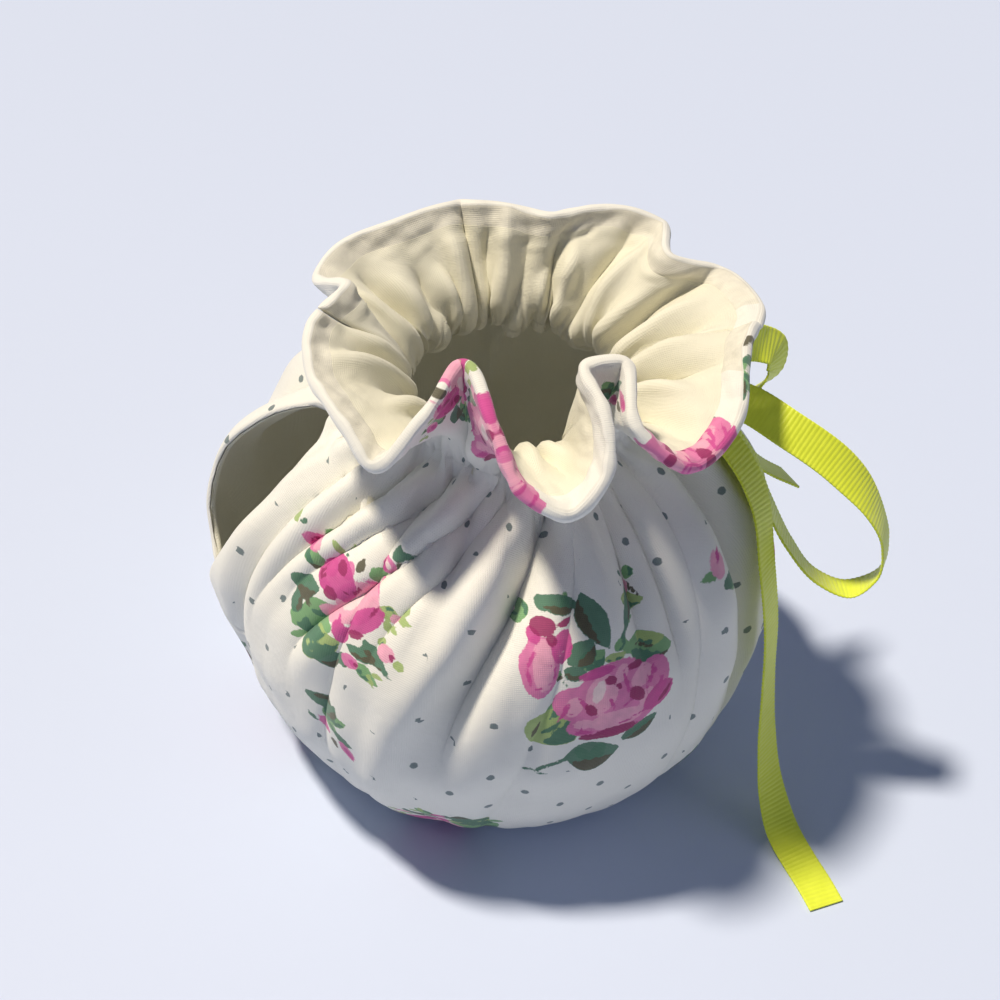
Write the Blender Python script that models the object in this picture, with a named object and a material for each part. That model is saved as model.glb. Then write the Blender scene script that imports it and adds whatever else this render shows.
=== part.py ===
"""Gathered tea cosy with a ruffled neck, a lining and a ribbon tie.

Two printed panels are sewn at the spout side and the handle side, drawn in at the hem and at the neck, and
stand up above the neck as a ruffle. Each panel has a lining. One ribbon is tied in a bow at the handle side.
All sizes are in millimetres and degrees, measured from the neck's upright axis. 0 degrees is the handle side,
180 degrees is the spout side, and 270 degrees is the front.
"""
import math

import bmesh
import bpy
import numpy as np
from mathutils import Matrix

MM = 0.001

# Place of the neck's axis in the part's frame, whose origin is under the middle of the whole.
AXIS_X = -9.12
AXIS_Y = 6.59

# Cloth
LAYER = 1.2
GAP = 0.3
COLUMNS = 32
CUT_WIDTH = 520.0
FRILL_LENGTH = 38.0
HEM_FOOT_WIDTH = 3.0

# Side seams, and the gap left in each for the pot
HANDLE_SEAM = 0.0
SPOUT_SEAM = 176.0
SEAM_GAPS = (
    # seam, lowest height, highest height, half width
    (SPOUT_SEAM, 44.0, 100.0, 13.0),
    (HANDLE_SEAM, 30.0, 92.0, 8.0),
)

# Sections from the hem up to the neck. The hem's turned band ends at the second, the lining starts at the third.
BODY_SECTIONS = (
    # radius, height
    (48.0, 0.0),
    (55.4, 3.2),
    (55.8, 3.4),
    (61.5, 9.0),
    (66.5, 17.5),
    (70.5, 27.0),
    (73.0, 38.0),
    (74.0, 48.0),
    (73.2, 58.0),
    (70.5, 70.0),
    (65.0, 82.0),
    (57.0, 92.0),
    (47.0, 100.0),
    (37.0, 105.4),
    (31.0, 108.2),
    (29.0, 111.5),
)
# Sections of the ruffle, as shares of its length. The lining ends at the third, the rim's turned band starts at the
# fourth.
FRILL_SECTIONS = (0.25, 0.52, 0.775, 0.785, 1.0)

# Main folds of the body, each running from the neck towards the hem and fading out at its end share.
FOLDS = (
    # name, neck angle, end angle, end share of the height, depth, width
    ("front long valley", 283.0, 253.0, 0.40, -6.0, 5.5),
    ("front long ridge", 274.0, 246.0, 0.48, 2.2, 6.0),
    ("front middle valley", 281.0, 275.0, 0.68, -2.0, 3.5),
    ("front middle ridge", 292.0, 288.0, 0.58, 2.0, 5.5),
    ("front right valley", 302.0, 302.0, 0.55, -3.2, 4.0),
    ("front right ridge", 313.0, 308.0, 0.62, 1.6, 5.0),
    ("right broad ridge", 329.0, 318.0, 0.45, 2.6, 7.0),
    ("right deep valley", 335.0, 326.0, 0.33, -5.0, 4.5),
    ("right side ridge", 345.0, 338.0, 0.50, 2.0, 6.0),
    ("left overlapping fold", 257.0, 217.0, 0.54, -4.0, 4.0),
    ("left overlapping ridge", 250.0, 222.0, 0.50, 2.4, 6.0),
    ("left shoulder valley", 240.0, 209.0, 0.66, -2.2, 3.5),
    ("left shoulder ridge", 232.0, 210.0, 0.58, 1.8, 5.5),
    ("left valley", 208.0, 201.0, 0.50, -3.6, 4.0),
    ("below spout ridge", 198.0, 199.0, 0.45, 2.0, 5.0),
    ("spout edge valley", 188.0, 196.0, 0.55, -2.6, 4.0),
    ("back left valley", 160.0, 152.0, 0.50, -3.6, 4.5),
    ("back left ridge", 146.0, 141.0, 0.45, 2.4, 7.0),
    ("back valley", 128.0, 124.0, 0.40, -4.2, 5.0),
    ("back short valley", 109.0, 112.0, 0.66, -2.6, 4.0),
    ("back ridge", 98.0, 101.0, 0.50, 2.2, 7.0),
    ("back middle valley", 84.0, 88.0, 0.44, -4.0, 5.0),
    ("back right ridge", 68.0, 72.0, 0.55, 2.2, 6.0),
    ("back right valley", 52.0, 58.0, 0.42, -4.2, 4.5),
    ("handle back ridge", 38.0, 44.0, 0.55, 1.8, 6.0),
    ("handle back valley", 26.0, 33.0, 0.55, -3.2, 4.5),
)

# Puckers of the drawn-in hem, fading out a short way up.
HEM_PUCKERS = 23
HEM_PUCKER_DEPTH = 0.9

# The rim of the ruffle: it stands up at inward folds and falls outwards in lobes between them.
RIM = (
    # name, neck angle, rim angle, rim radius, rim height above the neck
    ("handle tip", 8.0, 6.0, 61.5, 20.5),
    ("handle back", 24.0, 23.0, 58.0, 20.0),
    ("right notch", 36.0, 29.5, 46.0, 24.0),
    ("back right corner", 47.0, 42.0, 54.5, 23.5),
    ("back right run", 55.0, 50.5, 51.5, 25.5),
    ("back right crest", 64.0, 61.0, 45.0, 26.5),
    ("back dip", 77.0, 73.5, 38.0, 26.5),
    ("back crest", 91.0, 89.0, 41.0, 26.0),
    ("back left corner", 107.0, 105.5, 44.0, 26.0),
    ("back left run", 127.0, 128.0, 47.0, 24.5),
    ("left back", 144.0, 147.0, 53.5, 22.0),
    ("left corner", 156.0, 156.0, 54.0, 20.0),
    ("left notch", 168.0, 168.0, 44.0, 27.0),
    ("left lobe", 181.0, 184.0, 52.0, 25.5),
    ("left low", 200.0, 201.0, 55.0, 23.0),
    ("front left run", 213.0, 218.0, 56.5, 22.0),
    ("front left lobe", 222.0, 228.5, 58.5, 18.5),
    ("front left rise", 231.0, 235.0, 48.0, 28.0),
    ("front left fold", 240.0, 238.0, 33.0, 34.0),
    ("front rise", 249.0, 256.0, 46.0, 29.5),
    ("front lobe", 258.0, 263.5, 56.0, 22.0),
    ("front low", 269.0, 274.0, 60.5, 17.0),
    ("front lobe end", 279.0, 284.0, 56.0, 22.0),
    ("front second rise", 286.0, 289.0, 43.0, 31.5),
    ("front second fold", 292.5, 291.5, 31.5, 34.0),
    ("front fold end", 302.0, 306.0, 34.0, 34.0),
    ("front right start", 311.0, 297.0, 49.0, 28.0),
    ("front right lobe", 321.0, 305.0, 58.0, 18.5),
    ("front right corner", 336.0, 328.0, 58.5, 19.0),
    ("handle fold", 352.0, 348.0, 55.0, 23.5),
)

# Ribbon
RIBBON_WIDTH = 10.0
RIBBON_THICKNESS = 1.0
RIBBON_STEP = 4.0
KNOT_SIZE = (10.0, 12.0, 8.0)
KNOT_RADIUS = 40.5
KNOT_ANGLE = -9.0
KNOT_HEIGHT = 112.2
RIBBON_RUNS = {
    # x, y, z of the middle line, then the direction across the ribbon
    "long loop": (
        (38.0, -6.0, 113.5, 0.16, 0.98, 0.0),
        (47.0, -6.0, 113.5, 0.2, 0.95, 0.15),
        (57.0, -5.0, 111.0, 0.4, 0.7, 0.5),
        (69.5, -13.5, 108.0, 0.44, 0.58, 0.69),
        (82.0, -21.0, 102.0, 0.44, 0.62, 0.55),
        (91.0, -26.0, 93.0, 0.42, 0.68, 0.0),
        (96.0, -29.0, 82.0, 0.41, 0.69, -0.5),
        (95.5, -31.0, 71.0, 0.3, 0.8, -0.5),
        (89.0, -31.0, 66.0, 0.11, 0.93, -0.35),
        (80.0, -29.0, 69.0, 0.2, 0.9, -0.4),
        (72.0, -24.5, 77.5, 0.4, 0.75, -0.53),
        (65.5, -18.0, 88.0, 0.44, 0.73, -0.53),
        (60.0, -12.5, 98.0, 0.5, 0.7, -0.4),
        (52.0, -8.0, 106.0, 0.3, 0.9, -0.1),
        (45.0, -6.5, 109.2, 0.16, 0.98, 0.0),
        (38.0, -6.0, 109.7, 0.16, 0.98, 0.0),
    ),
    "short loop": (
        (38.0, -5.0, 112.6, 0.16, 0.98, 0.0),
        (46.0, 1.5, 113.3, 0.1, 0.95, 0.2),
        (54.0, 10.0, 112.6, 0.4, 0.7, 0.4),
        (61.0, 16.0, 110.8, 0.65, 0.65, 0.3),
        (68.0, 20.0, 108.0, 0.71, 0.68, 0.17),
        (73.5, 21.5, 103.5, 0.68, 0.68, -0.1),
        (73.5, 20.5, 98.0, 0.68, 0.68, -0.25),
        (67.5, 17.0, 94.0, 0.5, 0.8, -0.3),
        (60.0, 10.5, 96.0, 0.4, 0.85, -0.3),
        (52.0, 2.5, 103.0, 0.3, 0.9, -0.1),
        (45.0, -3.0, 108.6, 0.16, 0.98, 0.0),
        (38.0, -5.5, 109.5, 0.16, 0.98, 0.0),
    ),
    "long end": (
        (38.0, -7.0, 111.0, 0.3, 0.95, 0.0),
        (47.0, -10.0, 109.5, 0.4, 0.9, 0.0),
        (56.0, -17.0, 103.0, 0.5, 0.87, 0.0),
        (61.5, -24.0, 94.0, 0.5, 0.87, 0.0),
        (64.0, -33.0, 80.0, 0.5, 0.87, 0.0),
        (67.0, -39.5, 61.0, 0.5, 0.87, 0.0),
        (68.0, -44.5, 44.0, 0.5, 0.87, 0.0),
        (69.0, -50.5, 28.0, 0.6, 0.8, 0.0),
        (71.5, -57.0, 12.5, 0.75, 0.65, 0.0),
        (75.0, -65.0, 3.2, 0.9, 0.4, 0.0),
        (78.5, -73.0, 0.6, 0.94, 0.34, 0.0),
        (81.0, -80.0, 0.5, 0.94, 0.34, 0.0),
        (83.0, -87.0, 0.5, 0.94, 0.34, 0.0),
    ),
    "short end": (
        (38.0, -6.0, 110.5, 0.16, 0.98, 0.0),
        (46.0, -7.0, 108.3, 0.16, 0.98, 0.0),
        (54.0, -6.5, 102.0, 0.1, 0.97, 0.0),
        (61.5, -5.5, 93.0, 0.0, 0.95, -0.2),
        (68.5, -4.5, 86.0, -0.05, 0.95, -0.3),
        (76.0, -3.0, 80.0, -0.09, 0.94, -0.33),
    ),
}

MATERIALS = {
    # red, green, blue, roughness
    "printed_cotton": (0.86, 0.86, 0.80, 0.85),
    "lining_cotton": (0.80, 0.77, 0.61, 0.88),
    "grosgrain_ribbon": (0.66, 0.77, 0.08, 0.55),
}


def smooth_step(share):
    """Rise from 0 to 1 with flat ends."""
    share = np.clip(share, 0.0, 1.0)
    return share * share * (3.0 - 2.0 * share)


def hermite(knots, values, places):
    """Smooth curve through values at uneven knots, with each slope taken from the neighbours."""
    knots = np.asarray(knots, float)
    values = np.asarray(values, float)
    slopes = np.gradient(values, knots, axis=0)
    index = np.clip(np.searchsorted(knots, places, side="right") - 1, 0, len(knots) - 2)
    span = knots[index + 1] - knots[index]
    t = (places - knots[index]) / span
    if values.ndim > 1:
        t = t[..., None]
        span = span[..., None]
    start = (1.0 + 2.0 * t) * (1.0 - t) ** 2 * values[index] + t * (1.0 - t) ** 2 * span * slopes[index]
    end = t * t * (3.0 - 2.0 * t) * values[index + 1] + t * t * (t - 1.0) * span * slopes[index + 1]
    return start + end


def polar(angle, radius, height):
    """Point at an angle in degrees round the neck's axis."""
    turn = np.radians(angle)
    return np.stack([radius * np.cos(turn), radius * np.sin(turn), height + 0.0 * turn], axis=-1)


class Rim:
    """The rim's closed line, and the neck angle below each of its places.

    A place is the distance along the cut cloth, from 0 to CUT_WIDTH once round.
    """

    def __init__(self):
        waist_height = BODY_SECTIONS[-1][1]
        neck = np.array([row[1] for row in RIM])
        points = np.array([polar(row[2], row[3], waist_height + row[4]) for row in RIM])
        steps = np.linalg.norm(np.roll(points, -1, axis=0) - points, axis=1)
        places = np.concatenate([[0.0], np.cumsum(steps)]) * CUT_WIDTH / steps.sum()
        turns = range(-1, 2)
        self.knots = np.concatenate([places[:-1] + CUT_WIDTH * turn for turn in turns])
        self.points = np.concatenate([points] * len(turns))
        self.neck = np.concatenate([neck + 360.0 * turn for turn in turns])

    def point(self, place):
        return hermite(self.knots, self.points, place)

    def neck_angle(self, place):
        return hermite(self.knots, self.neck, place)

    def place_at(self, angle):
        """Place on the cut cloth that is gathered to this neck angle."""
        places = np.linspace(-0.5 * CUT_WIDTH, 1.5 * CUT_WIDTH, 4001)
        return float(np.interp(angle, self.neck_angle(places), places))


def section_normals(sections):
    """Outward direction of each section in the radius and height plane."""
    along = np.gradient(sections, axis=0)
    along /= np.linalg.norm(along, axis=1)[:, None]
    return np.stack([along[:, 1], -along[:, 0]], axis=1)


def height_shares(sections):
    """Share of the way from the hem to the neck, measured along the cloth."""
    steps = np.linalg.norm(np.diff(sections, axis=0), axis=1)
    return np.concatenate([[0.0], np.cumsum(steps)]) / steps.sum()


def fold_depth(angle, radius, share):
    """How far the body's folds push the cloth out, or pull it in, at each place."""
    depth = np.zeros_like(angle * share)
    neck_fade = 1.0 - 0.7 * smooth_step((share - 0.86) / 0.14)
    for _, neck_angle, end_angle, end_share, peak, width in FOLDS:
        run = np.clip((share - end_share) / (1.0 - end_share), 0.0, 1.0)
        middle = end_angle + (neck_angle - end_angle) * run ** 1.4
        away = np.radians((angle - middle + 180.0) % 360.0 - 180.0) * radius
        local_width = width * (0.35 + 0.65 * radius / 74.0)
        fade = smooth_step((share - end_share + 0.08) / 0.28)
        depth += peak * fade * neck_fade * np.exp(-((away / local_width) ** 2))
    hem_fade = 1.0 - smooth_step(share / 0.22)
    wave = np.sin(np.radians(angle * HEM_PUCKERS + 40.0 * np.sin(np.radians(angle * 3.0))))
    depth += HEM_PUCKER_DEPTH * hem_fade * smooth_step(share / 0.05) * wave
    slack = 0.8 * np.sin(np.radians(angle * 3.0 + 50.0)) + 0.6 * np.sin(np.radians(angle * 5.0))
    return depth + slack * np.sin(math.pi * np.clip(share, 0.0, 1.0)) ** 2


def spout_bulge(angle, height):
    """The body's swelling over the root of the spout."""
    away = (angle - SPOUT_SEAM + 180.0) % 360.0 - 180.0
    return 9.0 * np.exp(-((away / 26.0) ** 2)) * np.exp(-(((height - 62.0) / 26.0) ** 2))


def cloth_points(rim, places):
    """Middle surface of the doubled cloth: a row for each section, a column for each place."""
    sections = np.array(BODY_SECTIONS)
    normals = section_normals(sections)
    shares = height_shares(sections)
    body_rows = len(sections)
    angle = rim.neck_angle(places[:body_rows])
    radius = sections[:, :1] + spout_bulge(angle, sections[:, 1:])
    depth = fold_depth(angle, sections[:, :1], shares[:, None])
    body = polar(angle, radius + depth * normals[:, :1], sections[:, 1:] + depth * normals[:, 1:])
    frill = []
    for row, share in enumerate(FRILL_SECTIONS):
        place = places[body_rows + row]
        start = polar(rim.neck_angle(place), sections[-1, 0], sections[-1, 1])
        end = rim.point(place)
        lean = np.hypot(end[:, 0], end[:, 1]) - sections[-1, 0]
        middle = 0.5 * (start + end)
        middle[:, 2] += 1.5 + 0.12 * lean
        frill.append((1 - share) ** 2 * start + 2 * share * (1 - share) * middle + share**2 * end)
    return np.concatenate([body, np.array(frill)])


def unit(vectors):
    return vectors / np.linalg.norm(vectors, axis=-1, keepdims=True)


def surface_normals(points, ahead, behind):
    """Outward normals, from neighbours along a row and the mean direction up the columns."""
    across = ahead - behind
    up = unit(np.diff(points, axis=0))
    mean_up = np.concatenate([up[:1], up[:-1] + up[1:], up[-1:]])
    return unit(np.cross(across, mean_up))


def seam_inset(seam, heights, spread):
    """Distance on the cut cloth from a side seam to the panel's edge, at each section."""
    inset = np.full(len(heights), 0.5 * GAP)
    for gap_seam, low, high, half_width in SEAM_GAPS:
        if gap_seam == seam:
            middle = 0.5 * (low + high)
            reach = (heights - middle) / (0.5 * (high - low))
            inset = np.maximum(inset, half_width * np.sqrt(np.clip(1.0 - reach**2, 0.0, 1.0)))
    return inset / spread


def panel_places(rim, first_seam, last_seam):
    """Places on the cut cloth of each grid point of one panel."""
    sections = np.array(BODY_SECTIONS)
    frill_heights = np.full(len(FRILL_SECTIONS), sections[-1, 1] + FRILL_LENGTH)
    heights = np.concatenate([sections[:, 1], frill_heights])
    body_spread = 2.0 * math.pi * sections[:, 0] / CUT_WIDTH
    frill_spread = body_spread[-1] + (1.0 - body_spread[-1]) * np.array(FRILL_SECTIONS)
    spread = np.concatenate([body_spread, frill_spread])
    share = np.linspace(0.0, 1.0, COLUMNS + 1)
    start = rim.place_at(first_seam)
    end = rim.place_at(last_seam)
    if end < start:
        end += CUT_WIDTH
    first_inset = seam_inset(first_seam % 360.0, heights, spread)
    last_inset = seam_inset(last_seam % 360.0, heights, spread)
    even = start + (end - start) * share
    return even + first_inset[:, None] * (1.0 - share) ** 4 - last_inset[:, None] * share**4


def panel_grid(first_seam, last_seam):
    """Middle points and normals of one panel."""
    rim = Rim()
    places = panel_places(rim, first_seam, last_seam)
    points = cloth_points(rim, places)
    normals = surface_normals(points, cloth_points(rim, places + 1.5), cloth_points(rim, places - 1.5))
    return points, normals


def cover_faces(points, normals):
    """Outer and inner face of a printed panel, which is doubled inwards along its hem and its rim."""
    outer = points + normals * (0.5 * GAP + LAYER)
    inner = points + normals * 0.5 * GAP
    band_end = 1
    band_start = len(points) - 2
    doubled = points - normals * (0.5 * GAP + LAYER)
    inner[: band_end + 1] = doubled[: band_end + 1]
    inner[band_start:] = doubled[band_start:]
    inner[band_end + 1] = (points + normals * 0.5 * GAP)[band_end]
    inner[band_start - 1] = (points + normals * 0.5 * GAP)[band_start]
    outward = points[0] * np.array([1.0, 1.0, 0.0])
    outward = unit(outward) * 0.5 * HEM_FOOT_WIDTH
    outer[0] = points[0] * np.array([1.0, 1.0, 0.0]) + outward
    inner[0] = points[0] * np.array([1.0, 1.0, 0.0]) - outward
    return outer, inner


def lining_faces(points, normals):
    """Outer and inner face of a lining, between the hem's band and the rim's band."""
    rows = slice(2, len(points) - 2)
    outer = points[rows] - normals[rows] * 0.5 * GAP
    inner = points[rows] - normals[rows] * (0.5 * GAP + LAYER)
    return outer, inner


def grid_shell(outer, inner):
    """Closed shell between two matching grids of points, as vertices and quads."""
    rows, columns = outer.shape[:2]
    vertices = np.concatenate([outer.reshape(-1, 3), inner.reshape(-1, 3)])
    index = np.arange(rows * columns).reshape(rows, columns)
    back = index + rows * columns

    def quads(a, b, c, d):
        return np.stack([a, b, c, d], axis=-1).reshape(-1, 4)

    faces = [
        quads(index[:-1, :-1], index[:-1, 1:], index[1:, 1:], index[1:, :-1]),
        quads(back[:-1, :-1], back[1:, :-1], back[1:, 1:], back[:-1, 1:]),
        quads(index[0, 1:], index[0, :-1], back[0, :-1], back[0, 1:]),
        quads(index[-1, :-1], index[-1, 1:], back[-1, 1:], back[-1, :-1]),
        quads(index[:-1, 0], index[1:, 0], back[1:, 0], back[:-1, 0]),
        quads(index[1:, -1], index[:-1, -1], back[:-1, -1], back[1:, -1]),
    ]
    return vertices, np.concatenate(faces)


def ribbon_shell(route):
    """Closed flat strip along a smooth line through the route's points."""
    table = np.array(route)
    steps = np.linalg.norm(np.diff(table[:, :3], axis=0), axis=1)
    knots = np.concatenate([[0.0], np.cumsum(steps)])
    stations = np.linspace(0.0, knots[-1], 1 + round(knots[-1] / RIBBON_STEP))
    samples = hermite(knots, table, stations)
    middle = samples[:, :3]
    middle[:, 2] = np.maximum(middle[:, 2], 0.5 * RIBBON_THICKNESS)
    along = unit(np.gradient(middle, axis=0))
    across = samples[:, 3:]
    across = unit(across - along * np.sum(across * along, axis=1, keepdims=True))
    face = np.cross(along, across)
    half_width = across * 0.5 * RIBBON_WIDTH
    half_thickness = face * 0.5 * RIBBON_THICKNESS
    front = np.stack([middle - half_width + half_thickness, middle + half_width + half_thickness], axis=1)
    back = np.stack([middle - half_width - half_thickness, middle + half_width - half_thickness], axis=1)
    return grid_shell(back, front)


def make_material(name):
    red, green, blue, roughness = MATERIALS[name]
    material = bpy.data.materials.new(name)
    material.use_nodes = True
    shader = material.node_tree.nodes["Principled BSDF"]
    shader.inputs["Base Color"].default_value = (red, green, blue, 1.0)
    shader.inputs["Roughness"].default_value = roughness
    shader.inputs["Metallic"].default_value = 0.0
    return material


def make_object(name, shell, material):
    """Object from vertices in millimetres round the neck's axis."""
    vertices, faces = shell
    placed = (vertices + np.array([AXIS_X, AXIS_Y, 0.0])) * MM
    mesh = bpy.data.meshes.new(name)
    mesh.from_pydata(placed.tolist(), [], faces.tolist())
    mesh.materials.append(material)
    mesh.shade_smooth()
    mesh.set_sharp_from_angle(angle=math.radians(50.0))
    obj = bpy.data.objects.new(name, mesh)
    bpy.context.collection.objects.link(obj)
    return obj


def make_knot(name, material):
    """The bow's knot: a small rounded block turned to face out of the neck."""
    mesh = bpy.data.meshes.new(name)
    shape = bmesh.new()
    centre = polar(KNOT_ANGLE, KNOT_RADIUS, KNOT_HEIGHT) + np.array([AXIS_X, AXIS_Y, 0.0])
    size = Matrix.Diagonal([edge * MM for edge in KNOT_SIZE] + [1.0])
    place = Matrix.Translation(centre * MM) @ Matrix.Rotation(math.radians(KNOT_ANGLE), 4, "Z") @ size
    bmesh.ops.create_cube(shape, size=1.0, matrix=place)
    shape.to_mesh(mesh)
    shape.free()
    mesh.materials.append(material)
    knot = bpy.data.objects.new(name, mesh)
    bpy.context.collection.objects.link(knot)
    bevel = knot.modifiers.new("round", "BEVEL")
    bevel.width = 2.2 * MM
    bevel.segments = 2
    return knot


def tie_bow(material):
    """Knot, loops and free ends joined into one solid."""
    knot = make_knot("ribbon_bow", material)
    for name, route in RIBBON_RUNS.items():
        run = make_object(name.replace(" ", "_"), ribbon_shell(route), material)
        run.hide_render = True
        run.display_type = "WIRE"
        join = knot.modifiers.new(name, "BOOLEAN")
        join.operation = "UNION"
        join.solver = "EXACT"
        join.object = run


def main():
    for obj in list(bpy.data.objects):
        bpy.data.objects.remove(obj, do_unlink=True)
    cotton = make_material("printed_cotton")
    lining = make_material("lining_cotton")
    seams = {"back": (HANDLE_SEAM, SPOUT_SEAM), "front": (SPOUT_SEAM, HANDLE_SEAM + 360.0)}
    for side, (first_seam, last_seam) in seams.items():
        points, normals = panel_grid(first_seam, last_seam)
        make_object("cover_" + side, grid_shell(*cover_faces(points, normals)), cotton)
        make_object("lining_" + side, grid_shell(*lining_faces(points, normals)), lining)
    tie_bow(make_material("grosgrain_ribbon"))


main()
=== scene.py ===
# Tea cosy of rose-printed cotton, drawn in at the hem and the neck, with a lined ruffle and a grosgrain bow.
import math

import bpy
import numpy as np
from mathutils import Matrix, Vector


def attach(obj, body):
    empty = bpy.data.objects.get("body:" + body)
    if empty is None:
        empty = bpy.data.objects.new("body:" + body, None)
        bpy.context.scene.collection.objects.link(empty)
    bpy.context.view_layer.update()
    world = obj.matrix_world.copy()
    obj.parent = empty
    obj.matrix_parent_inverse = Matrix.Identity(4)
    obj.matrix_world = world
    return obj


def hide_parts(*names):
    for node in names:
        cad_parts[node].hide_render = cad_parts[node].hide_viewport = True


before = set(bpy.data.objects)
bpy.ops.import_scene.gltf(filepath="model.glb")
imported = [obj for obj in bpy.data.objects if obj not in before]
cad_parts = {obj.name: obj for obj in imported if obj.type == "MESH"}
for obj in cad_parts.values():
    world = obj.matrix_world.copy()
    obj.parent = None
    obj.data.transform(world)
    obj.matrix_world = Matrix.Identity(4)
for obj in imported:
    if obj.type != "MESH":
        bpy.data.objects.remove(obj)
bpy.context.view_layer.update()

mm = 0.001

# the cosy's cut and shape, in millimetres and degrees round the neck's upright axis; 0 is the handle side,
# 180 the spout side and 270 the front
cosy = {
    "axis": (-9.12, 6.59),        # place of the neck's axis
    "layer": 1.2,               # one padded cotton layer
    "gap": 0.3,                 # between cover and lining
    "cutWidth": 520.0,          # once round the cut cloth
    "girth": 465.0,             # round the widest part
    "printWidth": 480.0,        # once round the print on the body
    "frill": 38.0,              # cloth above the neck
    "hemTurn": 8.0,
    "rimTurn": 5.6,
    "columns": 400,
    "foldGain": 1.25,
    "seams": {"back": (0.0, 176.0), "front": (176.0, 360.0)},
    # angle of the seam, lowest height, highest height, half width of the gap left for spout or handle
    "gaps": ((176.0, 44.0, 100.0, 13.0), (0.0, 30.0, 92.0, 8.0)),
}

bodySections = np.array([
    # radius, height, from the hem up to the neck
    (48, 0), (55.6, 3.3), (61.5, 9), (66.5, 17.5), (70.5, 27), (73, 38), (74, 48), (73.2, 58),
    (70.5, 70), (65, 82), (57, 92), (47, 100), (37, 105.4), (31, 108.2), (29, 111.5),
])

bodyFolds = (
    # neck angle, end angle, end share of the height, depth, width, lean to one side
    (283, 253, 0.44, -9.5, 5.5, -0.8),     # long valley across the front, steep on its right
    (271, 243, 0.44, 3.6, 5.5, 0),
    (277, 269, 0.66, -2.6, 2.8, 0),
    (291, 287, 0.60, 2.2, 5, 0),
    (298, 294, 0.60, -3.6, 3.4, 0.2),
    (308, 303, 0.55, -4.4, 3.8, 0.2),
    (315, 310, 0.60, 2, 5, 0),
    (327, 316, 0.45, 3.2, 7, 0),
    (335, 325, 0.30, -6.5, 4.2, -0.4),    # deep valley beside the ribbon
    (345, 338, 0.50, 2.4, 6, 0),
    (266, 236, 0.62, -3.4, 3, 0.3),
    (257, 217, 0.52, -6, 3.4, 0.7),    # fold that laps over the upper bouquet
    (250, 221, 0.50, 3.2, 5, 0),
    (241, 211, 0.62, -4.2, 3, 0.5),
    (233, 206, 0.56, 2.8, 4.5, 0),
    (222, 203, 0.52, -4.6, 3.4, 0.5),
    (212, 200, 0.45, 3, 5, 0),
    (203, 197, 0.30, -4.4, 4, 0.3),
    (195, 193, 0.45, 2.4, 5, 0),
    (188, 189, 0.55, -2.6, 3.8, 0),
    (160, 152, 0.50, -4.6, 4.3, -0.3),
    (146, 141, 0.45, 3, 7, 0),
    (128, 124, 0.40, -5.4, 4.8, 0.3),
    (118, 117, 0.55, 2.4, 5, 0),
    (109, 112, 0.66, -3.6, 3.8, 0),
    (98, 101, 0.50, 3, 7, 0),
    (84, 88, 0.44, -5.4, 4.8, -0.3),
    (68, 72, 0.55, 3, 6, 0),
    (52, 58, 0.42, -5.6, 4.3, 0.3),
    (38, 44, 0.55, 2.6, 6, 0),
    (26, 33, 0.55, -4.4, 4.3, 0),
    (14, 17, 0.55, -3, 4, 0),
    # soft creases of the lower half, left by wear, that stop short of the neck
    (232, 226, 0.16, -1.6, 3, 0.3),
    (244, 240, 0.10, 1.4, 5, 0),
    (290, 262, 0.12, -1.5, 3, 0.3),
    (318, 304, 0.14, -1.6, 3.4, 0.2),
)

rimTable = np.array([
    # neck angle, rim angle, rim radius, rim height above the neck; it stands up at the inward folds
    (8, 6, 61.5, 20.5), (24, 23, 58, 20), (36, 29.5, 46, 24), (47, 42, 54.5, 23.5),
    (55, 50.5, 51.5, 25.5), (64, 61, 45, 26.5), (77, 73.5, 38, 26.5), (91, 89, 41, 26),
    (107, 105.5, 44, 26), (127, 128, 47, 24.5), (144, 147, 53.5, 22), (156, 156, 54, 20),
    (168, 168, 44, 27), (181, 184, 52, 25.5), (200, 201, 55, 23), (213, 218, 56.5, 22),
    (222, 228.5, 58.5, 18.5), (231, 235, 48, 28), (240, 238, 33, 34), (249, 256, 46, 29.5),
    (258, 263.5, 56, 22), (269, 274, 60.5, 17), (279, 284, 56, 22), (286, 289, 43, 31.5),
    (292.5, 291.5, 31.5, 34), (302, 306, 34, 34), (311, 297, 49, 28), (321, 305, 58, 18.5),
    (336, 328, 58.5, 19), (352, 348, 55, 23.5),
])

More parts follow.
